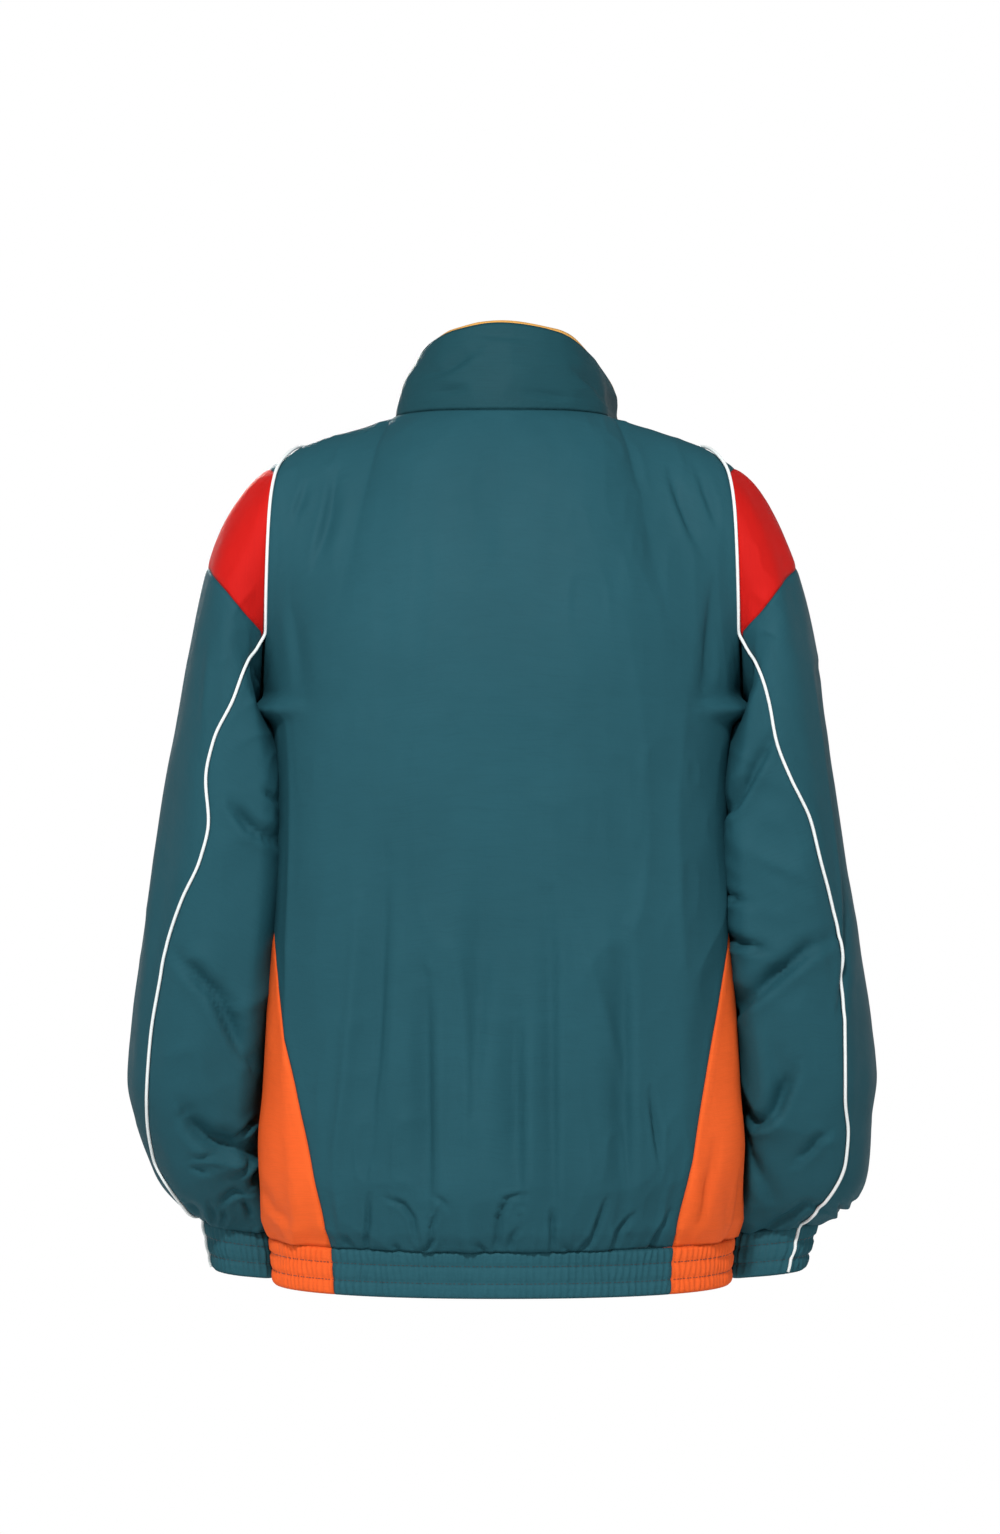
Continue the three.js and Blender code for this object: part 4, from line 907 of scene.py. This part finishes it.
def nylon(name, colour, roughness=0.6, specular=0.07, weave=0.5):
    """Woven nylon: threads, faint streaks along them, small wrinkles, puckers beside seams, and painted
    shade along the seams.
    """
    material, tree, shader = blank_material(name)
    cloth = node(tree, "Attribute", attribute_name="cloth").outputs["Vector"]
    from_edge = node(tree, "SeparateXYZ", {0: cloth}).outputs["Z"]
    where = node(tree, "TexCoord").outputs["Object"]

    # Threads both ways, about half a millimetre apart
    warp, weft = (wave(tree, cloth, 560.0, 0.6, 1.0, direction) for direction in ("X", "Y"))
    crossing = node(tree, "Math", {0: warp, 1: weft}, operation="ADD").outputs["Value"]

    # Streaks along the weft, broad unevenness and fine wrinkles
    stretched = node(tree, "Mapping", {"Vector": cloth, "Scale": (40.0, 900.0, 1.0)}).outputs["Vector"]
    slubs = speckle(tree, stretched, 1.0, 3.0, 0.6)
    broad = speckle(tree, where, 9.0, 3.0, 0.5)
    small = speckle(tree, where, 46.0, 4.0, 0.55, 0.4)

    # Colour, darker in the streaks, and painted shade beside seams, where the sunken seam would lie in
    # shade
    uneven = blend(tree, broad, shade(colour, 0.86), shade(colour, 1.14))
    streaked = blend(tree, remap(tree, slubs, 0.45, 0.8, 0.0, 0.35), uneven, shade(colour, 0.72))
    # painted shade: the colour darkens within about 2 mm of a seam
    seam = remap(tree, from_edge, 0.0, 0.0022, 0.5, 0.0)

    # Relief: wrinkles, puckers beside seams, threads
    pucker = speckle(tree, where, 210.0, 2.0, 0.5)
    beside = remap(tree, from_edge, 0.0, 0.011, 1.0, 0.0)
    puckered = node(tree, "Math", {0: pucker, 1: beside}, operation="MULTIPLY").outputs["Value"]
    normal = relief(tree, small, 0.35, 0.0016)
    normal = relief(tree, puckered, 0.5, 0.0016, normal)
    normal = relief(tree, crossing, weave, 0.00006, normal)

    shader.inputs["Roughness"].default_value = roughness
    feed(tree, shader, {
        "Specular IOR Level": specular,
        "Sheen Roughness": 0.4,
        # the base colour carries the painted shade beside seams
        "Base Color": blend(tree, seam, streaked, shade(colour, 0.45)),
        "Roughness": remap(tree, small, 0.0, 1.0, roughness - 0.07, roughness + 0.07),
        "Normal": normal,
    })
    return material


def corded(name, colour, roughness, scale, depth):
    """Cord and sewing thread: a fine twist that changes both relief and shade."""
    material, tree, shader = blank_material(name)
    where = node(tree, "TexCoord").outputs["Object"]
    twist = wave(tree, where, scale, 1.2, 2.0, "DIAGONAL")
    feed(tree, shader, {
        "Roughness": roughness,
        "Sheen Weight": 0.15,
        "Base Color": blend(tree, twist, shade(colour, 0.9), shade(colour, 1.05)),
        "Normal": relief(tree, twist, 0.5, depth),
    })
    return material


def brushed_metal(name, colour):
    material, tree, shader = blank_material(name)
    where = node(tree, "TexCoord").outputs["Object"]
    grain = speckle(tree, where, 900.0, 5.0, 0.6)
    feed(tree, shader, {
        "Metallic": 1.0,
        "Base Color": blend(tree, grain, shade(colour, 0.82), shade(colour, 1.1)),
        "Roughness": remap(tree, grain, 0.0, 1.0, 0.22, 0.45),
        "Normal": relief(tree, grain, 0.25, 0.0001),
    })
    return material


# Pieces
def declare(piece, node_name, with_pieces=()):
    """Hides the node that a cloth piece stands for, drops the piece's flat size, and hangs it and the other
    pieces from the jacket.
    """
    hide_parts(node_name)
    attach(piece, "jacket")
    del piece["flat_mm"]
    for part in with_pieces:
        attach(part, "jacket")


def levels():
    """Rows of the body's cloth, closer together just above the elastic hem."""
    height = UNDERARM - HEM_TOP
    dense = DENSE_HEIGHT / height
    near_hem = fine(0, dense, 1 + round(DENSE_HEIGHT / DENSE_STEP))
    lower = fine(dense, 1, 1 + round((height - DENSE_HEIGHT) / STEP))
    upper = 1 + np.arccos(1 - 2 * fine(0, 1, 74)) / math.pi
    return np.concatenate([near_hem, lower[1:], upper[1:]])


def body_half(face, side, columns):
    level, column = np.meshgrid(levels(), columns, indexing="ij")
    points, normal = body_base(face, column, level), body_normal(face, column, level)
    edge = gusset_angle(HEM_TOP)
    angle = edge + (90 - edge) * column
    fields = body_fields(points, normal, angle if face == "back" else -angle, side)
    outer = dressed(points, normal, fields, side, fade=(ARMHOLE_SEAM, SHOULDER_SEAM, COLLAR_SEAM),
                    dips=(ARMHOLE_SEAM, SHOULDER_SEAM, GUSSET_SEAMS, HEM_SEAM))
    return outer, mirrored(normal, side)


def back_panel(materials):
    columns = fine(0, 1, 84)
    left, left_normal = body_half("back", "left", columns)
    right, right_normal = body_half("back", "right", columns)
    outer = np.concatenate([left, right[:, -2::-1]], axis=1)
    normal = np.concatenate([left_normal, right_normal[:, -2::-1]], axis=1)
    piece = cloth_sheet("back_panel_cloth", outer, normal, materials["teal"])
    declare(piece, "back_panel")


def front_panel(side, materials):
    outer, normal = body_half("front", side, fine(0, 1, 76))
    piece = cloth_sheet(f"front_{side}_cloth", outer, normal, materials["teal"])
    declare(piece, f"front_{side}")


def side_gusset(side, materials):
    z, share = np.meshgrid(fine(HEM_TOP, GUSSET_TIP - 1, 98), fine(0, 1, 40), indexing="ij")
    angle = gusset_angle(z) * (2 * share - 1)
    points = body_section(angle, z)
    surface = lambda a, b: body_section(a * 90, b * 100)
    normal = normals(surface, angle / 90, z / 100, place(0 * z, SIDE_Y, z))
    fields = body_fields(points, normal, gusset_angle(HEM_TOP) * (2 * share - 1), side)
    outer = dressed(points, normal, fields, side, dips=(GUSSET_SEAMS, HEM_SEAM))
    piece = cloth_sheet(f"side_gusset_{side}_cloth", outer, mirrored(normal, side), materials["orange"])
    declare(piece, f"side_gusset_{side}")


# Elastic bands: close ribs, drawn in by two rows of stitching
HEM_STITCH_HEIGHTS = (-673.5, -686)
HEM_RIB_PITCH = 5.6
CUFF_STITCH_SHARES = (0.34, 0.68)
CUFF_RIB_PITCH = 5.2


def ribs(s, up, pitch, rows, shift=0.0):
    spots = place(s, 0 * s, up)
    bent = s + 1.6 * noise(spots, (9, 1, 14), shift) + 2.5 * noise(spots, (40, 1, 60), shift + 2.7)
    wave = 0.5 + 0.5 * np.cos(2 * math.pi * bent / pitch)
    uneven = 0.75 + 0.4 * noise(spots, (7, 1, 9), shift + 7.9)
    drawn = sum(np.exp(-(((up - row) / 1.7) ** 2)) for row in rows)
    return 1.7 * wave ** 1.3 * uneven * (1 - 0.55 * drawn) - 0.9 * drawn


def turned_rim(push, rim, sink):
    """Ribs that die away at a band's rims, where the cloth turns in."""
    return push * smooth(-1, 3, rim) - sink * np.exp(-((rim / 1.6) ** 2))


def hem_piece(name, node_name, material, side, start, end, shift, thread):
    width = abs(hem_arc(end) - hem_arc(start))
    if abs(end) > 90:
        width = 2 * (ARC_LENGTHS[-1] - hem_arc(start))
    share_row = fine(0, 1, 1 + round(width / BAND_STEP))
    z, share = np.meshgrid(fine(HEM_BOTTOM, HEM_TOP, 20), share_row, indexing="ij")
    angle = mix(start, end, share)
    folded = np.where(angle > 90, 180 - angle, angle)
    points = body_section(folded, z) + place(shift * share, 0 * z, 0 * z)
    normal = place(
        points[..., 0] / through(BODY_SECTIONS, "z", "half", z) ** 2,
        (points[..., 1] - SIDE_Y) / through(BODY_SECTIONS, "z", "back", z) ** 2, 0 * z)
    normal = unit(normal)
    flip = np.where(angle > 90, -1, 1)
    points[..., 0] *= flip
    normal[..., 0] *= flip
    sign = -1 if side == "right" else 1
    s = sign * flip * hem_arc(folded)
    push = ribs(s, z, HEM_RIB_PITCH, HEM_STITCH_HEIGHTS)
    rim = np.minimum(z - HEM_BOTTOM, HEM_TOP - z)
    push = turned_rim(push, rim, 1.1)
    ends = np.minimum(share, 1 - share) * width
    push = push - 0.8 * np.exp(-((ends / 2) ** 2))
    outer = points + normal * push[..., None]
    rows = []
    for height in HEM_STITCH_HEIGHTS:
        k = int(np.argmin(np.abs(z[:, 0] - height)))
        rows.append((mirrored(outer[k] + normal[k] * STITCH_LIFT, side), mirrored(normal[k], side)))
    sewn = stitches(f"{name}_stitching", rows, thread)
    piece = cloth_sheet(name, mirrored(outer, side), mirrored(normal, side), material)
    declare(piece, node_name, [sewn])


def hem_band(materials):
    edge = float(gusset_angle(HEM_TOP))
    # the teal bands use the teal nylon made lighter, painted light against the shade between their ribs
    teal, orange = materials["teal_lightened_for_rib_shade"], materials["orange"]
    hem_piece("hem_back_cloth", "hem_back", teal, "left", edge, 180 - edge, 0,
              materials["teal_thread"])
    for side in SIDES:
        hem_piece(f"hem_side_{side}_cloth", f"hem_side_{side}", orange, side,
                  -edge, edge, 0, materials["orange_thread"])
        hem_piece(f"hem_front_{side}_cloth", f"hem_front_{side}", teal, side, -edge, -90,
                  ZIP_HALF, materials["teal_thread"])


# Sleeves
SLEEVE_ARC_TURNS = fine(-180, 180, 721)
SLEEVE_ARC = arc_lengths(sleeve_base(SLEEVE_ARC_TURNS, SLEEVE_END), 0)


def cuff_arc(turn):
    return np.interp((turn + 180) % 360 - 180, SLEEVE_ARC_TURNS, SLEEVE_ARC)


def sleeve_seams(side):
    reach = fine(CHEVRON_TIP, SLEEVE_END, 420)
    turn = piped_turn(side, reach)
    turns = fine(-CHEVRON_CORNER, CHEVRON_CORNER, 200)
    cap_turns = fine(-CAP_CORNER, CAP_CORNER, 100)
    return {
        "piped": np.concatenate([sleeve_base(turn, reach), sleeve_base(-turn, reach)]),
        "chevron": sleeve_base(turns, chevron_reach(turns)),
        "cap": sleeve_base(cap_turns, cap_reach(cap_turns)),
        "cuff": sleeve_base(fine(-180, 180, 200), SLEEVE_END),
    }


def sleeve_cloth(kind, side, colour, materials, turn, reach, end_turn, seams):
    points, normal = sleeve_base(turn, reach), sleeve_normal(turn, reach)
    up = (SLEEVE_END - reach) * RING_SPACING
    fields = sleeve_fields(points, normal, cuff_arc(end_turn), up, side, seams["piped"])
    outer = dressed(points, normal, fields, side, fade=(ARMHOLE_SEAM,),
                    dips=(ARMHOLE_SEAM, *(seams[key] for key in ("piped", "chevron", "cap", "cuff"))))
    piece = cloth_sheet(f"{kind}_{side}_cloth", settled(outer, side), mirrored(normal, side),
                        materials[colour])
    declare(piece, f"{kind}_{side}")


def sleeve_cap(side, materials, seams):
    share, turn = np.meshgrid(fine(0, 1, 14), fine(-CAP_CORNER, CAP_CORNER, 44), indexing="ij")
    reach = share * cap_reach(turn)
    sleeve_cloth("sleeve_cap", side, "teal", materials, turn, reach, turn, seams)


def shoulder_chevron(side, materials, seams):
    share, turn = np.meshgrid(fine(0, 1, 34), fine(-CHEVRON_CORNER, CHEVRON_CORNER, 130), indexing="ij")
    start, end = cap_reach(turn), chevron_reach(turn)
    sleeve_cloth("shoulder_chevron", side, "red", materials, turn, mix(start, end, share), turn, seams)


def sleeve_outer(side, materials, seams):
    share, part = np.meshgrid(fine(0, 1, 208), fine(-1, 1, 106), indexing="ij")
    start = chevron_reach(part * CHEVRON_CORNER)
    reach = mix(start, SLEEVE_END, share)
    drift = (CHEVRON_CORNER - piped_turn(side, start)) * (1 - share) ** 2
    turn = part * (piped_turn(side, reach) + drift)
    sleeve_cloth("sleeve_outer", side, "teal", materials, turn, reach,
                 part * piped_turn(side, SLEEVE_END), seams)


def sleeve_under(side, materials, seams):
    reach, share = np.meshgrid(fine(0, SLEEVE_END, 208), fine(0, 2, 94), indexing="ij")
    seam = np.where(reach < CHEVRON_TIP, CHEVRON_CORNER, piped_turn(side, reach))
    end = piped_turn(side, SLEEVE_END)
    sleeve_cloth("sleeve_under", side, "teal", materials, seam + share * (180 - seam), reach,
                 end + share * (180 - end), seams)


def cuff_height(down):
    return -down * CUFF_LENGTH


def cuff_push(turn, down):
    s = cuff_arc(turn)
    rows = [cuff_height(share) for share in CUFF_STITCH_SHARES]
    push = ribs(s, cuff_height(down), CUFF_RIB_PITCH, rows, 3.1)
    return turned_rim(push, np.minimum(down, 1 - down) * CUFF_LENGTH, 1.0)


def cuff(side, materials):
    count = round(SLEEVE_ARC[-1] / BAND_STEP)
    down, turn = np.meshgrid(fine(0, 1, 20), np.arange(count) * 360 / count, indexing="ij")
    points, normal = cuff_base(turn, down), cuff_normal(turn, down)
    outer = points + normal * cuff_push(turn, down)[..., None]
    rows = []
    for share in CUFF_STITCH_SHARES:
        k = int(np.argmin(np.abs(down[:, 0] - share)))
        row = settled(mirrored(outer[k] + normal[k] * STITCH_LIFT, side), side)
        rows.append((row, mirrored(normal[k], side)))
    sewn = stitches(f"cuff_{side}_stitching", rows, materials["teal_thread"])
    # painted light: the cuff uses the teal nylon made lighter against the shade between its ribs
    piece = cloth_sheet(f"cuff_{side}_cloth", settled(mirrored(outer, side), side),
                        mirrored(normal, side), materials["teal_lightened_for_rib_shade"], closed=True)
    declare(piece, f"cuff_{side}",
            [sewn])


# Collar
def collar_half(side, rises, away):
    rise, around = np.meshgrid(rises, fine(0, 1, 64), indexing="ij")
    if away:
        rise = rise * (1 + FLARE_SHOWS[side] * smooth(0.15, 0.5, around))
    points, normal = collar_base(side, around, rise), collar_normal(side, around, rise)
    real = mirrored(points, side)
    creases = crease_field(COLLAR_CREASES, seen_from_behind(real)) * smooth(-0.2, 0.4, normal[..., 1])
    soft = 1.1 * noise(real, (34, 40, 30), 1.4) + 1.0 * (ridges(real, (26, 30, 16), 6.6) - 0.3)
    push = (creases + soft) * smooth(0, 0.2, rise) - away
    return mirrored(points + normal * push[..., None], side), mirrored(normal, side)


def collar_grid(rises, away):
    left, left_normal = collar_half("left", rises, away)
    right, right_normal = collar_half("right", rises, away)
    outer = np.concatenate([left[:, ::-1], right[:, 1:]], axis=1)
    return outer, np.concatenate([left_normal[:, ::-1], right_normal[:, 1:]], axis=1)


def collar(materials):
    outer, normal = collar_grid(fine(0, 1, 28), 0)
    piece = cloth_sheet("collar_outer_cloth", outer, normal, materials["teal_collar"], thick=1.2)
    declare(piece, "collar_outer")
    outer, normal = collar_grid(fine(0.06, FACING_TOP, 26), FACING_GAP)
    piece = cloth_sheet("collar_facing_cloth", outer, normal, materials["yellow"], thick=1.0)
    declare(piece, "collar_facing")


# White piping: from the front of one cuff over the shoulder to the back of it
def piping(side, materials, seams):
    reach = fine(CHEVRON_TIP, SLEEVE_END, 300)[2:]
    paths = {}
    for sign in (-1, 1):
        turn = sign * piped_turn(side, reach)
        points, normal = sleeve_base(turn, reach), sleeve_normal(turn, reach)
        end = sign * piped_turn(side, SLEEVE_END)
        up = (SLEEVE_END - reach) * RING_SPACING
        push = sleeve_fields(points, normal, cuff_arc(end), up, side, seams["piped"])
        push = push * smooth(0, 14, seam_distance(points, ARMHOLE_SEAM)) + PIPING_LIFT - SEAM_SINK
        down = fine(0.04, 0.97, 30)
        cuff_turn = np.full_like(down, end)
        cuff_points, cuff_out = cuff_base(cuff_turn, down), cuff_normal(cuff_turn, down)
        lift = PIPING_OVER_CUFF + np.maximum(cuff_push(cuff_turn, down), -PIPING_OVER_CUFF)
        path = np.concatenate([points + normal * push[..., None], cuff_points + cuff_out * lift[..., None]])
        paths[sign] = path, np.concatenate([normal, cuff_out])
    turns = fine(-CHEVRON_CORNER, CHEVRON_CORNER, 150)
    base = armhole_point(turns)
    out = unit(sleeve_normal(turns, 0 * turns) + np.array([-0.25, 0, 0]))
    over = base + out * (PIPING_LIFT - 0.3)
    path = np.concatenate([paths[-1][0][::-1], over, paths[1][0]])
    normal = np.concatenate([paths[-1][1][::-1], out, paths[1][1]])
    path, normal = resample(path, 2.0, normal)
    for _ in range(2):
        path[1:-1] = (path[:-2] + 2 * path[1:-1] + path[2:]) / 4
    path = settled(mirrored(path, side), side)
    piece = tube(f"piping_{side}_cord", path, mirrored(normal, side), PIPING_RADIUS, materials["white"])
    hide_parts(f"piping_{side}")
    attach(piece, "jacket")


# Zip: a tape and a coil of close links along each front edge
TOOTH_PITCH = 2.1
TAPE_EDGE = (-3.0, 2.6)
TAPE_DEPTH = 1.1
TOOTH_ACROSS = (1.6, 3.7)


def zip_path(side):
    level = np.concatenate([[0], fine(0.01, 2, 400)])
    one = np.ones_like(level)
    edge, normal = body_base("front", one, level), body_normal("front", one, level)
    inside = body_base("front", 0.97 * one, level)
    rise = fine(0.06, 1, 50)
    around = np.ones_like(rise)
    edge = np.concatenate([edge, collar_base(side, around, rise)])
    inside = np.concatenate([inside, collar_base(side, 0.97 * around, rise)])
    normal = np.concatenate([normal, collar_normal(side, around, rise)])
    foot = edge[0] + np.array([0, 3, HEM_BOTTOM - HEM_TOP])
    edge = np.concatenate([[foot], edge])
    inside = np.concatenate([[inside[0] + foot - edge[1]], inside])
    normal = np.concatenate([[normal[0]], normal])
    out = edge - inside
    out = unit(out - np.sum(out * normal, -1, keepdims=True) * normal)
    edge, normal, out = resample(edge, TOOTH_PITCH, normal, out)
    return edge, unit(normal), unit(out)


def zip_half(side, materials):
    edge, normal, out = zip_path(side)
    strip = np.stack([edge + out * far - normal * TAPE_DEPTH for far in TAPE_EDGE], 1)
    twice = np.stack([normal, normal], 1)
    tape = cloth_sheet(f"zip_tape_{side}", mirrored(strip, side), mirrored(twice, side), materials["tape"],
                       thick=0.5)
    del tape["flat_mm"]
    run = unit(np.gradient(edge, axis=0))
    vertices, faces = [], []
    offset = 0.5 * TOOTH_PITCH if side == "right" else 0
    for spot, up, away, along in zip(edge, normal, out, run):
        base = len(vertices)
        for share, size in ((0, 0.75), (0.55, 1.0), (1, 0.6)):
            middle = spot + away * mix(*TOOTH_ACROSS, share) - up * 0.6 + along * offset
            for a, b in ((-1, -1), (1, -1), (1, 1), (-1, 1)):
                vertices.append(middle + along * a * 0.62 * size + up * b * 0.5 * size)
        for k in (0, 4):
            for j in range(4):
                n = (j + 1) % 4
                faces.append((base + k + j, base + k + n, base + k + 4 + n, base + k + 4 + j))
        faces.append((base + 3, base + 2, base + 1, base))
        faces.append((base + 8, base + 9, base + 10, base + 11))
    teeth = make_object(f"zip_teeth_{side}", mirrored(np.array(vertices), side), faces, materials["coil"])
    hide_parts(f"zip_{side}")
    for piece in (tape, teeth):
        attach(piece, "jacket")


def rounded_metal(node_name, body, materials, width):
    """The node's own shape with rounded edges."""
    source = bpy.data.objects[node_name]
    piece = bpy.data.objects.new(f"{node_name}_rounded", source.data.copy())
    bpy.context.scene.collection.objects.link(piece)
    piece.matrix_world = source.matrix_world
    piece.data.materials.clear()
    piece.data.materials.append(materials["metal"])
    merge = piece.modifiers.new("join", "WELD")
    merge.merge_threshold = 0.00002
    bevel = piece.modifiers.new("round", "BEVEL")
    bevel.width = width
    bevel.segments = 2
    bevel.limit_method = "ANGLE"
    bevel.angle_limit = math.radians(40)
    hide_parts(node_name)
    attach(piece, body)


# Stage, lights and camera
def area_light(name, location, size, power):
    data = bpy.data.lights.new(name, "AREA")
    data.shape = "RECTANGLE"
    data.size = data.size_y = size
    data.energy = power
    light = bpy.data.objects.new(name, data)
    bpy.context.scene.collection.objects.link(light)
    light.location = location
    direction = Vector(LIT_POINT) - Vector(location)
    light.rotation_euler = direction.to_track_quat("-Z", "Y").to_euler()


def studio():
    """A white cove that is bright near the horizon, a flash above the camera, and one in front."""
    bpy.context.scene.view_settings.view_transform = "Standard"
    world = bpy.data.worlds.new("cove")
    bpy.context.scene.world = world
    world.use_nodes = True
    tree = world.node_tree
    sky = node(tree, "TexCoord").outputs["Generated"]
    level = node(tree, "SeparateXYZ", {0: sky}).outputs["Z"]
    height = node(tree, "Math", {0: level}, operation="ABSOLUTE").outputs["Value"]
    strength = remap(tree, height, *COVE_HEIGHTS, *COVE_STRENGTHS)
    feed(tree, tree.nodes["Background"], {"Color": (1, 1, 1, 1), "Strength": strength})
    area_light("flash", *FLASH)
    area_light("front_flash", *FRONT_FLASH)


def floor():
    half, height = FLOOR_HALF, FLOOR_HEIGHT
    corners = [(-half, -half, height), (half, -half, height), (half, half, height), (-half, half, height)]
    mesh = bpy.data.meshes.new("floor")
    mesh.from_pydata(corners, [], [(0, 1, 2, 3)])
    material, tree, shader = blank_material("floor")
    grain = node(tree, "TexNoise", {"Scale": 3.0, "Detail": 2.0}).outputs["Fac"]
    pale = blend(tree, grain, (0.84, 0.84, 0.84, 1), (0.9, 0.9, 0.9, 1))
    feed(tree, shader, {"Roughness": 0.9, "Base Color": pale})
    mesh.materials.append(material)
    plane = bpy.data.objects.new("floor", mesh)
    bpy.context.scene.collection.objects.link(plane)


def camera():
    data = bpy.data.cameras.new("camera")
    data.sensor_width = SENSOR
    data.sensor_fit = "AUTO"
    data.lens = SENSOR * CAMERA_AWAY / FRAME_HEIGHT
    made = bpy.data.objects.new("camera", data)
    bpy.context.scene.collection.objects.link(made)
    made.location = (CAMERA_SIDE * MM, CAMERA_AWAY * MM, CAMERA_HEIGHT * MM)
    made.rotation_euler = (math.pi / 2, 0, math.pi)
    bpy.context.scene.camera = made


def make_materials():
    teal = linear(37, 83, 94)
    return {
        "teal": nylon("teal_nylon", teal),
        # painted light: the same teal nylon, made lighter to offset the shade that falls between the ribs
        # of the elastic bands
        "teal_lightened_for_rib_shade": nylon("teal_nylon_lightened_for_rib_shade", linear(42, 90, 101)),
        "teal_collar": nylon("teal_nylon_collar", linear(31, 73, 82)),
        "red": nylon("red_nylon", linear(202, 28, 24)),
        "orange": nylon("orange_nylon", linear(254, 102, 44)),
        "yellow": nylon("yellow_facing", linear(243, 180, 95), roughness=0.75, specular=0.2, weave=0.8),
        "white": corded("white_piping", linear(244, 252, 250), 0.5, 700, 0.0001),
        "teal_thread": corded("teal_thread", linear(24, 50, 58), 0.6, 1500, 0.00005),
        "orange_thread": corded("orange_thread", linear(128, 44, 22), 0.6, 1500, 0.00005),
        "tape": nylon("zip_tape", linear(38, 76, 87), roughness=0.8, specular=0.2, weave=1.0),
        "coil": corded("zip_coil", linear(46, 88, 98), 0.35, 900, 0.00005),
        "metal": brushed_metal("zip_metal", linear(190, 193, 197)),
    }


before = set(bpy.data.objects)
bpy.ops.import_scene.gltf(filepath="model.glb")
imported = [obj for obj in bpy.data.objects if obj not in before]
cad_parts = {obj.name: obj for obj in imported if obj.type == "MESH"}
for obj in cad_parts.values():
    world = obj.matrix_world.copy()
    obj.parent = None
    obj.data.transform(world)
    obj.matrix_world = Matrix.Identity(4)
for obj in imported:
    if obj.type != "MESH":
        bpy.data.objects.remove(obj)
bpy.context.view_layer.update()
camera()
studio()
floor()
materials = make_materials()
collar(materials)
back_panel(materials)
for side in SIDES:
    front_panel(side, materials)
    side_gusset(side, materials)
hem_band(materials)
for side in SIDES:
    seams = sleeve_seams(side)
    sleeve_cap(side, materials, seams)
    shoulder_chevron(side, materials, seams)
    sleeve_outer(side, materials, seams)
    sleeve_under(side, materials, seams)
    cuff(side, materials)
    piping(side, materials, seams)
    zip_half(side, materials)
rounded_metal("zip_slider", "jacket", materials, 0.0004)
rounded_metal("zip_pull", "pull_tab", materials, 0.0003)
